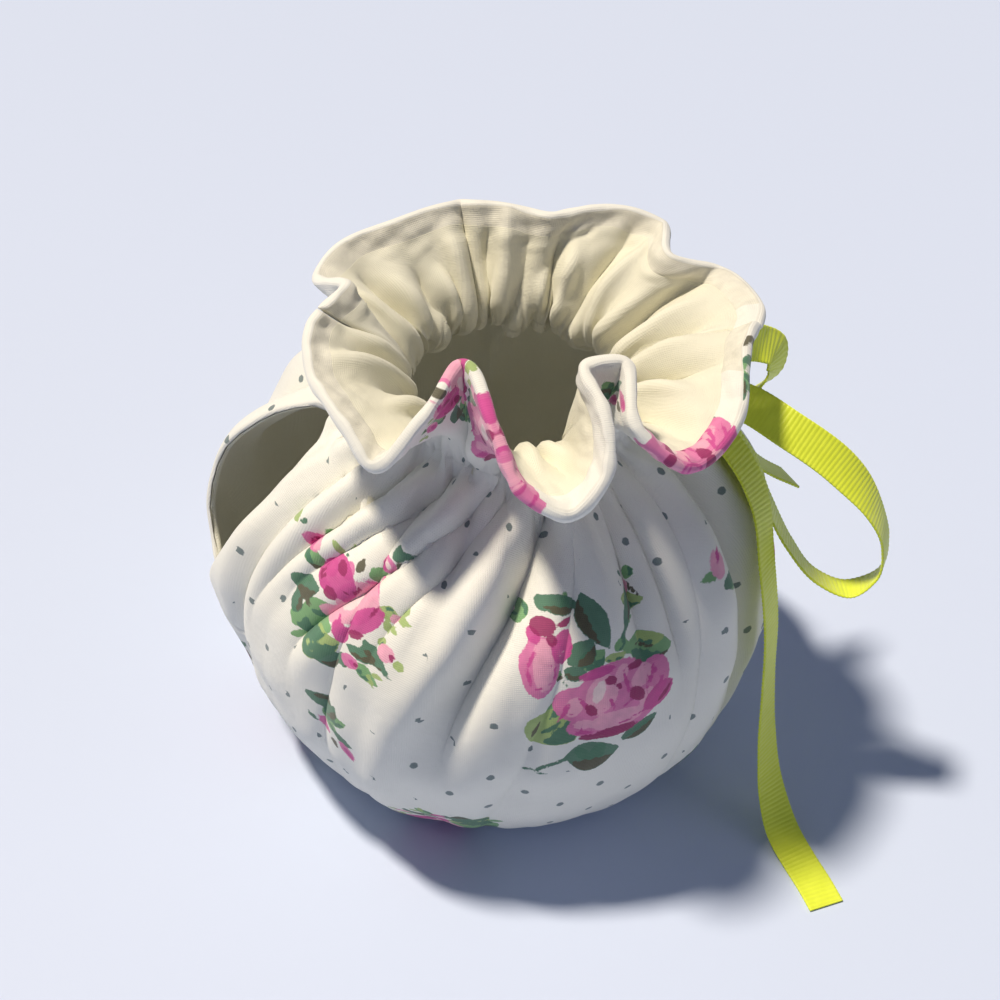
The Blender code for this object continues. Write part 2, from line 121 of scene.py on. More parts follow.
frillFolds = (
    # neck angle, start share, end share, depth, width, drift in degrees by the end
    (52, 0, 1.00, 2.2, 3, 0), (60, 0, 0.70, -2.8, 2.6, 6), (68, 0.2, 0.95, 2, 3.4, 4),
    (75, 0, 0.55, -2.4, 2.2, -3), (84, 0.1, 0.90, 1.6, 3.4, -1), (92, 0, 1.00, -2.6, 2.6, -1),
    (99, 0.2, 0.90, 1.6, 3, 0), (106.5, 0, 1.10, 2.6, 2.2, 0.5), (111, 0, 0.90, -2.4, 3, 3),
    (120, 0, 0.55, -2.8, 2.4, 3), (127, 0.1, 0.70, 2, 3, 4), (136, 0, 0.60, -2, 2.6, 4),
    (146, 0.1, 0.90, 2.4, 3.4, 0), (154, 0, 0.80, -2.2, 3, 3), (163, 0, 1.00, 1.8, 3, 0),
    (176, 0, 0.75, -2.4, 3, 2), (184, 0.1, 0.80, 1.6, 3, 0), (191, 0, 0.90, -3, 3, 2),
    (200, 0, 0.60, 1.8, 3, 0), (209, 0, 0.60, -2, 2.6, 3), (228, 0, 0.60, -1.2, 2.6, 0),
    (246, 0, 0.50, 1.2, 2.6, 0), (266, 0, 0.65, -2.2, 2.6, 0), (273, 0, 0.80, 1.8, 2.6, 2),
    (279, 0, 0.50, -1.2, 2.6, 0), (318, 0, 0.60, -1.8, 2.8, -2), (328, 0, 0.90, 2.2, 3, 0),
    (336, 0, 0.70, -2.8, 2.8, 4), (345, 0, 1.00, 2.4, 3, 5), (354, 0, 0.70, -2.8, 2.8, 4),
    (4, 0.1, 0.80, 2, 3.4, 4), (13, 0, 0.75, -2.4, 3, 3), (21, 0.1, 0.95, 2.2, 3.4, 4),
    (30, 0, 0.70, -2.8, 2.8, 4), (42, 0, 0.85, -2.4, 2.8, 2),
)

# Drawn-in gathers: waves round the neck, reach below it, reach above it, depth, offset of their phase
outerGathers = ((61, 9.0, 6.0, 0.95, 0.4), (37, 22.0, 13.0, 1.0, 2.1), (23, 40.0, 18.0, 0.7, 4.0))
innerGathers = ((57, 8.0, 5.0, 0.9, 1.7), (33, 14.0, 13.0, 1.1, 3.3), (19, 20.0, 20.0, 0.7, 5.2))
hemGathers = ((67, 9.0, 0.55, 0.9), (31, 22.0, 0.80, 2.6))


def smoothStep(x):
    x = np.clip(x, 0.0, 1.0)
    return x * x * (3.0 - 2.0 * x)


def unit(vectors):
    return vectors / np.maximum(np.linalg.norm(vectors, axis=-1, keepdims=True), 1e-9)


def hermite(knots, values, places):
    # cubic through the values at uneven knots, each slope taken from the neighbours
    slopes = np.gradient(values, knots, axis=0)
    index = np.clip(np.searchsorted(knots, places, side="right") - 1, 0, len(knots) - 2)
    span = knots[index + 1] - knots[index]
    t = (places - knots[index]) / span
    if values.ndim > 1:
        t, span = t[..., None], span[..., None]
    first = (1 + 2 * t) * (1 - t) ** 2 * values[index] + t * (1 - t) ** 2 * span * slopes[index]
    return first + t * t * (3 - 2 * t) * values[index + 1] + t * t * (t - 1) * span * slopes[index + 1]


def polar(angle, radius, height):
    turn = np.radians(angle)
    return np.stack([radius * np.cos(turn), radius * np.sin(turn), height + 0.0 * turn], axis=-1)


def wrapped(angle):
    return (angle + 180.0) % 360.0 - 180.0


bodyKnots = np.concatenate([[0.0], np.cumsum(np.linalg.norm(np.diff(bodySections, axis=0), axis=1))])
bodyLength = bodyKnots[-1]
clothLength = bodyLength + cosy["frill"]


def rimLine():
    # the rim's points and the neck angle under each, at places measured along the cut cloth, three turns of them
    points = polar(rimTable[:, 1], rimTable[:, 2], bodySections[-1, 1] + rimTable[:, 3])
    steps = np.linalg.norm(np.roll(points, -1, axis=0) - points, axis=1)
    places = np.concatenate([[0.0], np.cumsum(steps)[:-1]]) * cosy["cutWidth"] / steps.sum()
    turns = (-1, 0, 1)
    knots = np.concatenate([places + cosy["cutWidth"] * turn for turn in turns])
    neck = np.concatenate([rimTable[:, 0] + 360.0 * turn for turn in turns])
    return knots, np.concatenate([points] * 3), neck


rimKnots, rimPoints, rimNeck = rimLine()


def neckAngle(place):
    return hermite(rimKnots, rimNeck, place)


def placeAt(angle):
    places = np.linspace(-0.5, 1.5, 6001) * cosy["cutWidth"]
    return float(np.interp(angle, neckAngle(places), places))


def softNoise(x, y, size, seed):
    # sum of ten plane waves in random directions, about as long as the size given
    rng = np.random.default_rng(seed)
    total = np.zeros(np.broadcast(x, y).shape)
    for turn, stretch, phase in rng.uniform((0, 0.7, 0), (math.tau, 1.5, math.tau), (10, 3)):
        total += np.sin(math.tau * (x * math.cos(turn) + y * math.sin(turn)) / (size * stretch) + phase)
    return total / 4.5


def foldDepth(angle, radius, share):
    # sum of bell-shaped troughs and ridges, each sliding from its neck angle to its end angle as it goes down
    depth = np.zeros_like(angle)
    neckFade = 1.0 - 0.7 * smoothStep((share - 0.86) / 0.14)
    for top, end, endShare, peak, width, lean in bodyFolds:
        run = np.clip((share - endShare) / (1.0 - endShare), 0.0, 1.0)
        away = np.radians(wrapped(angle - end - (top - end) * run**1.4)) * radius
        near = away / (width * (0.35 + 0.65 * radius / 74.0))
        near = near * np.where(near * lean > 0, 1.0 - 0.45 * abs(lean), 1.0 + 0.8 * abs(lean))
        power = 1.1 if peak < 0 else 2.0
        depth += peak * smoothStep((share - endShare + 0.08) / 0.28) * neckFade * np.exp(-(np.abs(near) ** power))
    slack = 0.8 * np.sin(np.radians(angle * 3 + 50)) + 0.6 * np.sin(np.radians(angle * 5))
    return depth + slack * np.sin(math.pi * np.clip(share, 0, 1)) ** 2


def clothBase(place, along):
    # body: the profile swept round, pushed in or out by its folds; ruffle: a cubic curve from neck to rim
    angle = neckAngle(place)
    reach = np.clip(along, -3.0, bodyLength)
    section = hermite(bodyKnots, bodySections, reach)
    slope = unit(hermite(bodyKnots, bodySections, reach + 0.3) - hermite(bodyKnots, bodySections, reach - 0.3))
    radius, height = section[..., 0], section[..., 1]
    share = reach / bodyLength
    push = cosy["foldGain"] * foldDepth(angle, radius, share)
    below = bodyLength - reach
    neckFold = np.exp(-((below / 46.0) ** 2)) * smoothStep((below + 2.0) / 14.0)
    push = push + 1.5 * neckFold * gatherWave(angle + 0.18 * below, 19, 0.7)
    push = push + 9.0 * np.exp(-((wrapped(angle - 176.0) / 26.0) ** 2)) * np.exp(-(((height - 62.0) / 26.0) ** 2))
    push = push + 0.45 * softNoise(angle * 1.25, along, 24.0, 5) * smoothStep(share * 5.0)
    body = polar(angle, radius + push * slope[..., 1], height - push * slope[..., 0])
    rise = np.clip((along - bodyLength) / cosy["frill"], 0.0, 1.2)[..., None]
    end = hermite(rimKnots, rimPoints, place)
    lean = np.hypot(end[..., 0], end[..., 1]) - bodySections[-1, 0]
    out = np.stack([np.cos(np.radians(angle)), np.sin(np.radians(angle)), 0 * angle], axis=-1)
    up = np.array([0.0, 0.0, 1.0])
    first = body + 11.0 * up + out * (0.06 * lean[..., None])
    second = end - 13.0 * unit(unit(end - body) - up * (0.012 * lean[..., None]))
    curve = (1 - rise) ** 3 * body + 3 * rise * (1 - rise) ** 2 * first + 3 * rise**2 * (1 - rise) * second
    return np.where(rise > 0, curve + rise**3 * end, body)


def gridNormals(points):
    across = np.gradient(points, axis=1)
    upwards = unit(np.gradient(points, axis=0))
    return unit(np.cross(across, upwards))


def softened(field, times=1):
    # each value drawn towards the mean of its four neighbours on the grid
    for _ in range(times):
        padded = np.pad(field, [(1, 1), (1, 1)] + [(0, 0)] * (field.ndim - 2), mode="edge")
        around = padded[:-2, 1:-1] + padded[2:, 1:-1] + padded[1:-1, :-2] + padded[1:-1, 2:]
        field = 0.5 * field + 0.125 * around
    return field


def gatherWave(angle, count, phase):
    # rounded ridges between sharp valleys, unevenly spaced, from -1 to 1
    turn = np.radians(angle)
    drift = 1.3 * np.sin(3 * turn + phase) + 0.9 * np.sin(7 * turn + 2 * phase) + 0.6 * np.sin(12 * turn + 3 * phase)
    ridge = np.sqrt(np.cos(0.5 * (count * turn + drift)) ** 2 + 0.02)
    strength = 0.72 + 0.28 * np.sin(5 * turn + 4 * phase) + 0.15 * np.sin(17 * turn + phase)
    return (2.0 * ridge - 1.15) * strength


def gathers(angle, along, table):
    below = np.maximum(bodyLength - along, 0.0)
    above = np.maximum(along - bodyLength, 0.0)
    total = np.zeros_like(angle)
    for count, reachBelow, reachAbove, depth, phase in table:
        fade = np.exp(-((below / reachBelow) ** 1.6)) * np.exp(-((above / reachAbove) ** 1.6))
        total += depth * fade * gatherWave(angle + 0.25 * above - 0.12 * below, count, phase)
    for count, reach, depth, phase in hemGathers:
        total += depth * np.exp(-((np.maximum(along, 0) / reach) ** 1.5)) * gatherWave(angle, count, phase)
    return total


def frillPush(angle, along):
    rise = np.clip((along - bodyLength) / cosy["frill"], 0.0, 1.1)
    radius = 29.0 + 24.0 * rise
    total = np.zeros_like(angle)
    for top, start, end, depth, width, drift in frillFolds:
        away = np.radians(wrapped(angle - top - drift * rise)) * radius / (width * (0.5 + 0.6 * rise))
        fade = smoothStep((rise - start + 0.05) / 0.25) * (1.0 - smoothStep((rise - end + 0.25) / 0.35))
        total += 1.5 * depth * fade * np.exp(-(np.abs(away) ** (1.4 if depth < 0 else 2.0)))
    return total + 0.5 * softNoise(angle * 1.2, along, 17.0, 11) * smoothStep(rise * 3.0)


def seamInset(seam, heights, spread):
    inset = np.full(len(heights), -0.06)
    for gapSeam, low, high, halfWidth in cosy["gaps"]:
        if gapSeam == seam % 360.0:
            reach = (heights - 0.5 * (low + high)) / (0.5 * (high - low))
            inset = np.maximum(inset, halfWidth * np.sqrt(np.clip(1.0 - reach**2, 0.0, 1.0)))
    return (inset / spread)[:, None]


def panelGrid(side):
    # the middle surface of one panel's doubled cloth, a row for each millimetre up from the hem
    first, last = cosy["seams"][side]
    along = np.arange(-2.0, clothLength + 3.0)
    reach = np.clip(along, 0.0, bodyLength)
    section = hermite(bodyKnots, bodySections, reach)
    rise = np.clip((along - bodyLength) / cosy["frill"], 0.0, 1.0)
    spread = math.tau * section[:, 0] / cosy["cutWidth"]
    spread = spread + (1.0 - spread) * rise
    heights = section[:, 1] + rise * cosy["frill"]
    start, end = placeAt(first), placeAt(last)
    share = np.linspace(0.0, 1.0, cosy["columns"] + 1)[None, :]
    even = start + (end - start) * share
    place = even + seamInset(first, heights, spread) * (1 - share) ** 4 - seamInset(last, heights, spread) * share**4
    height = np.broadcast_to(along[:, None], place.shape)
    base = clothBase(place, height)
    angle = neckAngle(place)
    fromBack = wrapped(angle - 130.0)
    middle = base + gridNormals(base) * (frillPush(angle, height))[..., None]
    middle = softened(middle, 2)
    pucker = 0.28 * softNoise(place, height * 1.6, 8.0, 21) * smoothStep((height - clothLength + 13.0) / 6.0)
    steps = np.linalg.norm(np.diff(middle, axis=1), axis=2)
    fromFirst = np.pad(np.cumsum(steps, axis=1), [(0, 0), (1, 0)])
    toEdge = np.minimum(fromFirst, fromFirst[:, -1:] - fromFirst)
    return {
        "along": along, "place": place, "angle": angle, "middle": middle,
        "normal": unit(softened(gridNormals(middle), 3)),
        "outer": gathers(angle, height, outerGathers) + pucker,
        "inner": gathers(angle + 3.0, height, innerGathers) + pucker,
        "seam": 1.0 - 0.95 * smoothStep((fromBack + 96.0) / 14.0) * smoothStep((90.0 - fromBack) / 14.0),
        "edge": np.sqrt(1.0 - (1.0 - np.clip(toEdge / 1.6, 0.0, 1.0)) ** 2) * 0.86 + 0.14,
    }


def sampled(grid, name, along):
    # rows of a grid's field at any distances up the cloth
    step = np.clip(along - grid["along"][0], 0.0, len(grid["along"]) - 1.001)
    low = step.astype(int)
    part = (step - low).reshape((-1,) + (1,) * (grid[name].ndim - 1))
    return grid[name][low] * (1 - part) + grid[name][low + 1] * part


def joinRows(*groups):
    # each group: distance up the cloth, offset from the middle, centre to close on, outer gather, inner gather,
    # turned, and the rim seam's puff, which is left out round the back
    return np.concatenate([np.broadcast_arrays(*map(np.atleast_1d, group)) for group in groups], axis=1)


def coverRows():
    # once round a cover's section: up the outside, over the rim, down the turned band, then back down hidden
    half = 0.5 * cosy["gap"] + cosy["layer"]
    hidden = 0.5 * cosy["gap"]
    foot, hemEnd = 3.4, cosy["hemTurn"] + 3.4
    bandEnd = clothLength - cosy["rimTurn"]
    outside = np.arange(foot, clothLength + 0.01, 1.04)
    rimPuff = half + 0.3 * smoothStep((outside - bandEnd) / 4.0)
    roll = np.linspace(0.0, math.pi, 11)[1:-1]
    band = np.linspace(0.0, 1.0, 10)
    hem = np.linspace(hemEnd, foot, 8)
    hemRoll = np.linspace(math.pi, math.tau, 9)[1:-1]
    return joinRows(
        (outside, rimPuff, hidden, 1.0, 0.0, 0.0, 0.0),
        (clothLength + (half + 0.3) * np.sin(roll), (half + 0.3) * np.cos(roll), 0.0, 0.5 + 0.5 * np.cos(roll),
         0.5 - 0.5 * np.cos(roll), 0.5, 0.0),
        (clothLength - cosy["rimTurn"] * band, -half - 0.3 * (1 - band) ** 2, 0.0, 0.0, 1.0, 1.0,
         0.5 * band**3 - 0.35 * np.sin(math.pi * band)),
        (np.array([bandEnd, bandEnd - 0.05]), np.array([-0.4, hidden]), hidden, 0.0, 0.0, 1.0, 0.0),
        (np.linspace(bandEnd - 2.0, hemEnd + 1.0, 26), hidden, hidden, 0.0, 0.0, 1.0, 0.0),
        (np.array([hemEnd + 0.1]), np.array([hidden]), hidden, 0.0, 0.0, 1.0, 0.0),
        (hem, -half * np.minimum(1.0, 0.4 + 0.6 * np.arange(8) / 2.0), 0.0, 0.0, 0.5, 1.0, 0.0),
        (foot + half * np.sin(hemRoll), half * np.cos(hemRoll), 0.0, 0.2, 0.0, 1.0, 0.0),
    )


def liningRows():
    # once round a lining's section: down the inside from the rim's band to the hem's band, then back up hidden
    half = 0.5 * cosy["gap"] + cosy["layer"]
    hidden = 0.5 * cosy["gap"]
    top = clothLength - cosy["rimTurn"] + 0.6
    foot = cosy["hemTurn"] + 3.8
    inside = np.concatenate([[top], np.linspace(top - 0.12, bodyLength - 14.0, 47),
                             np.linspace(bodyLength - 16.0, foot, 68)])
    tuck = smoothStep((inside - foot) / 1.6)
    offset = -(hidden + 0.25 + (half - hidden - 0.22) * tuck)
    back = np.linspace(foot, top, 26)
    return joinRows(
        (inside, offset, -hidden, 0.0, 1.0, 0.0, 0.5 * (1 - smoothStep((top - inside) / 2.2))),
        (back, -hidden, -hidden, 0.0, 0.0, 0.0, 0.0),
    )


def sheetPoints(grid, rows):
    along, offset, centre, outerShare, innerShare, _, seam = rows
    middle, normal = sampled(grid, "middle", along), sampled(grid, "normal", along)
    edge = sampled(grid, "edge", along)
    crease = outerShare[:, None] * sampled(grid, "outer", along) - innerShare[:, None] * sampled(grid, "inner", along)
    crease = crease + seam[:, None] * sampled(grid, "seam", along)
    reach = centre[:, None] + (offset - centre)[:, None] * edge + crease * edge
    floor = np.where(offset >= 0, centre + 0.12, -9.0)[:, None] * (outerShare > 0)[:, None]
    reach = np.where((outerShare > 0)[:, None], np.maximum(reach, floor), reach)
    points = middle + normal * reach[..., None]
    points[..., 2] = np.maximum(points[..., 2], 0.0)
    return points


def printPlaces(grid, rows):
    # where each point lies on the print: round the body by angle, along the ruffle by the cut cloth's own length
    along, turned = rows[0], rows[5]
    angle, place = sampled(grid, "angle", along), sampled(grid, "place", along)
    body = angle * cosy["printWidth"] / 360.0
    ruffle = place * cosy["printWidth"] / cosy["cutWidth"]
    across = np.where((along > bodyLength)[:, None], ruffle, body)
    over = np.where((turned >= 1.0) & (along > bodyLength), 2 * clothLength + 3.0 - along, along)
    return np.stack([across, np.broadcast_to(over[:, None], across.shape)], axis=-1)


# meshes
def tubeFaces(rows, columns, heights):
    # quads of a grid whose rows close into a ring; each end is filled by triangles between the ring's two sides,
    # which run up from its lowest row to its highest, taken in order of height
    index = np.arange(rows * columns).reshape(rows, columns)
    ahead = np.roll(index, -1, axis=0)
    faces = [np.stack([index[:, :-1], index[:, 1:], ahead[:, 1:], ahead[:, :-1]], axis=-1).reshape(-1, 4)]
    order = (int(np.argmin(heights)) + np.arange(rows + 1)) % rows
    peak = int(np.argmax(heights[order]))
    up, down = order[:peak + 1], order[peak:][::-1]
    events = np.argsort(np.concatenate([heights[up[1:]], heights[down[1:]]]), kind="stable")
    onUp = events < len(up) - 1
    a, b = np.cumsum(onUp), np.cumsum(~onUp)
    third = np.where(onUp, up[np.maximum(a - 1, 0)], down[np.maximum(b - 1, 0)])
    corners = np.stack([up[a], down[b], third], axis=-1)
    for column, turn in ((0, 1), (columns - 1, -1)):
        faces.append(index[corners, column][:, ::turn])
    return faces


def buildMesh(name, points, faces):
    mesh = bpy.data.meshes.new(name)
    flat = points.reshape(-1, 3) * mm + np.array([cosy["axis"][0] * mm, cosy["axis"][1] * mm, 0.0])
    mesh.vertices.add(len(flat))
    mesh.vertices.foreach_set("co", flat.astype(np.float32).ravel())
    corners = np.concatenate([part.ravel() for part in faces])
    sizes = np.concatenate([np.full(len(part), part.shape[1]) for part in faces])
    mesh.loops.add(len(corners))
    mesh.loops.foreach_set("vertex_index", corners.astype(np.int32))
    mesh.polygons.add(len(sizes))
    mesh.polygons.foreach_set("loop_start", (np.cumsum(sizes) - sizes).astype(np.int32))
    mesh.update(calc_edges=True)
    mesh.validate()
    mesh.shade_smooth()
    piece = bpy.data.objects.new(name, mesh)
    bpy.context.collection.objects.link(piece)
    return piece


def addUv(piece, places):
    layer = piece.data.uv_layers.new(name="clothUv")
    corners = np.zeros(len(piece.data.loops), dtype=np.int32)
    piece.data.loops.foreach_get("vertex_index", corners)
    layer.data.foreach_set("uv", (places.reshape(-1, 2)[corners] * mapScale).astype(np.float32).ravel())


# materials
def linear(hexColour, alpha=1.0):
    parts = [int(hexColour[i:i + 2], 16) / 255.0 for i in (1, 3, 5)]
    parts = [p / 12.92 if p <= 0.04045 else ((p + 0.055) / 1.055) ** 2.4 for p in parts]
    return (*parts, alpha)


def addNode(tree, kind, settings=None, links=None):
    # one node with its properties, socket values and incoming links
    node = tree.nodes.new(kind)
    for name, value in (settings or {}).items():
        if isinstance(name, int) or name in node.inputs:
            node.inputs[name].default_value = value
        else:
            setattr(node, name, value)
    for name, source in (links or {}).items():
        tree.links.new(source, node.inputs[name])
    return node


def newMaterial(name):
    material = bpy.data.materials.new(name)
    material.use_nodes = True
    tree = material.node_tree
    return material, tree, tree.nodes["Principled BSDF"]


threadSpacing = 0.5      # mm
threadDepth = 0.00006    # metres
mapScale = 0.01          # of the cloth's own map, per mm


def weaveBump(tree, uv):
    # over and under threads: two crossed bands at the thread spacing, over a soft crumple
    scale = math.tau / (20.0 * threadSpacing * mapScale)
    warp, weft = (addNode(tree, "ShaderNodeTexWave", {"bands_direction": direction, "Scale": scale,
                                                      "Distortion": 0.6, "Detail": 1.0, "Detail Scale": 2.0},
                          {"Vector": uv}) for direction in "XY")
    both = addNode(tree, "ShaderNodeMath", {"operation": "ADD"}, {0: warp.outputs["Fac"], 1: weft.outputs["Fac"]})
    crumple = addNode(tree, "ShaderNodeTexNoise", {"Scale": 22.0, "Detail": 4.0, "Roughness": 0.6}, {"Vector": uv})
    soft = addNode(tree, "ShaderNodeBump", {"Strength": 0.35, "Distance": 0.0007}, {"Height": crumple.outputs["Fac"]})
    return addNode(tree, "ShaderNodeBump", {"Strength": 0.6, "Distance": threadDepth},
                   {"Height": both.outputs[0], "Normal": soft.outputs[0]})


screens = {
    # each ink of the print, in the order it is laid down
    "inkDot": "#71807E",
    "inkEdge": "#E6E2D0",        # the plain cream edge turned in round the back
    "inkLeaf": "#76A86C",
    "inkLime": "#A6BD72",
    "inkFir": "#4A7A5E",
    "inkOlive": "#5B5740",
    "inkPink": "#DF76A8",
    "inkPale": "#EFA9BE",
    "inkHot": "#CF4B93",
    "inkWine": "#9E2462",
    "inkCream": "#F4DAD6",
}


def printedCotton():
    # cotton lawn, plain woven, screen printed: matt, ink a little uneven, threads just showing
    material, tree, shader = newMaterial("printedCotton")
    uv = addNode(tree, "ShaderNodeUVMap", {"uv_map": "clothUv"}).outputs[0]
    bump = weaveBump(tree, uv)
    cloth = addNode(tree, "ShaderNodeMix", {"data_type": "RGBA", "Factor": 0.5})
    cloth.inputs["A"].default_value = linear("#E6E4D8")
    cloth.inputs["B"].default_value = linear("#EFEEE4")
    blotch = addNode(tree, "ShaderNodeTexNoise", {"Scale": 3.0, "Detail": 3.0}, {"Vector": uv})
    tree.links.new(blotch.outputs["Fac"], cloth.inputs["Factor"])
    colour = cloth.outputs["Result"]
    edge = addNode(tree, "ShaderNodeTexNoise", {"Scale": 95.0, "Detail": 2.0, "Roughness": 0.6}, {"Vector": uv})
    wobble = addNode(tree, "ShaderNodeMath", {"operation": "MULTIPLY_ADD", 1: 0.9, 2: -0.45},
                     {0: edge.outputs["Fac"]})
    tone = addNode(tree, "ShaderNodeTexNoise", {"Scale": 38.0, "Detail": 2.0}, {"Vector": uv})
    for name, hexColour in screens.items():
        ink = addNode(tree, "ShaderNodeAttribute", {"attribute_name": name})
        amount = 0.0 if name in ("inkDot", "inkEdge") else 1.0
        rough = addNode(tree, "ShaderNodeMath", {"operation": "MULTIPLY_ADD", 1: amount},
                        {0: wobble.outputs[0], 2: ink.outputs["Fac"]})
        mask = addNode(tree, "ShaderNodeMapRange", {"From Min": -0.12, "From Max": 0.12, "To Max": 0.96},
                       {"Value": rough.outputs[0]})
        shade = addNode(tree, "ShaderNodeMix", {"data_type": "RGBA"}, {"Factor": tone.outputs["Fac"]})
        deep = linear(hexColour)
        shade.inputs["A"].default_value = tuple(0.78 * c for c in deep[:3]) + (1.0,)
        shade.inputs["B"].default_value = tuple(min(1.0, 1.12 * c) for c in deep[:3]) + (1.0,)
        over = addNode(tree, "ShaderNodeMix", {"data_type": "RGBA"}, {"Factor": mask.outputs[0]})
        tree.links.new(colour, over.inputs["A"])
        tree.links.new(shade.outputs["Result"], over.inputs["B"])
        colour = over.outputs["Result"]
    tree.links.new(colour, shader.inputs["Base Color"])
    tree.links.new(bump.outputs[0], shader.inputs["Normal"])
    shader.inputs["Roughness"].default_value = 0.82
    shader.inputs["Sheen Weight"].default_value = 0.25
    shader.inputs["Sheen Roughness"].default_value = 0.5
    return material


def liningCotton():
    # unbleached cotton lining: warm cream, matt, a little crumpled
    material, tree, shader = newMaterial("creamCotton")
    uv = addNode(tree, "ShaderNodeUVMap", {"uv_map": "clothUv"}).outputs[0]
    bump = weaveBump(tree, uv)
    blotch = addNode(tree, "ShaderNodeTexNoise", {"Scale": 4.0, "Detail": 3.0}, {"Vector": uv})
    cloth = addNode(tree, "ShaderNodeMix", {"data_type": "RGBA"}, {"Factor": blotch.outputs["Fac"]})
    cloth.inputs["A"].default_value = linear("#E0DCC4")
    cloth.inputs["B"].default_value = linear("#EAE7D3")
    tree.links.new(cloth.outputs["Result"], shader.inputs["Base Color"])
    tree.links.new(bump.outputs[0], shader.inputs["Normal"])
    shader.inputs["Roughness"].default_value = 0.85
    shader.inputs["Sheen Weight"].default_value = 0.25
    shader.inputs["Sheen Roughness"].default_value = 0.5
    return material


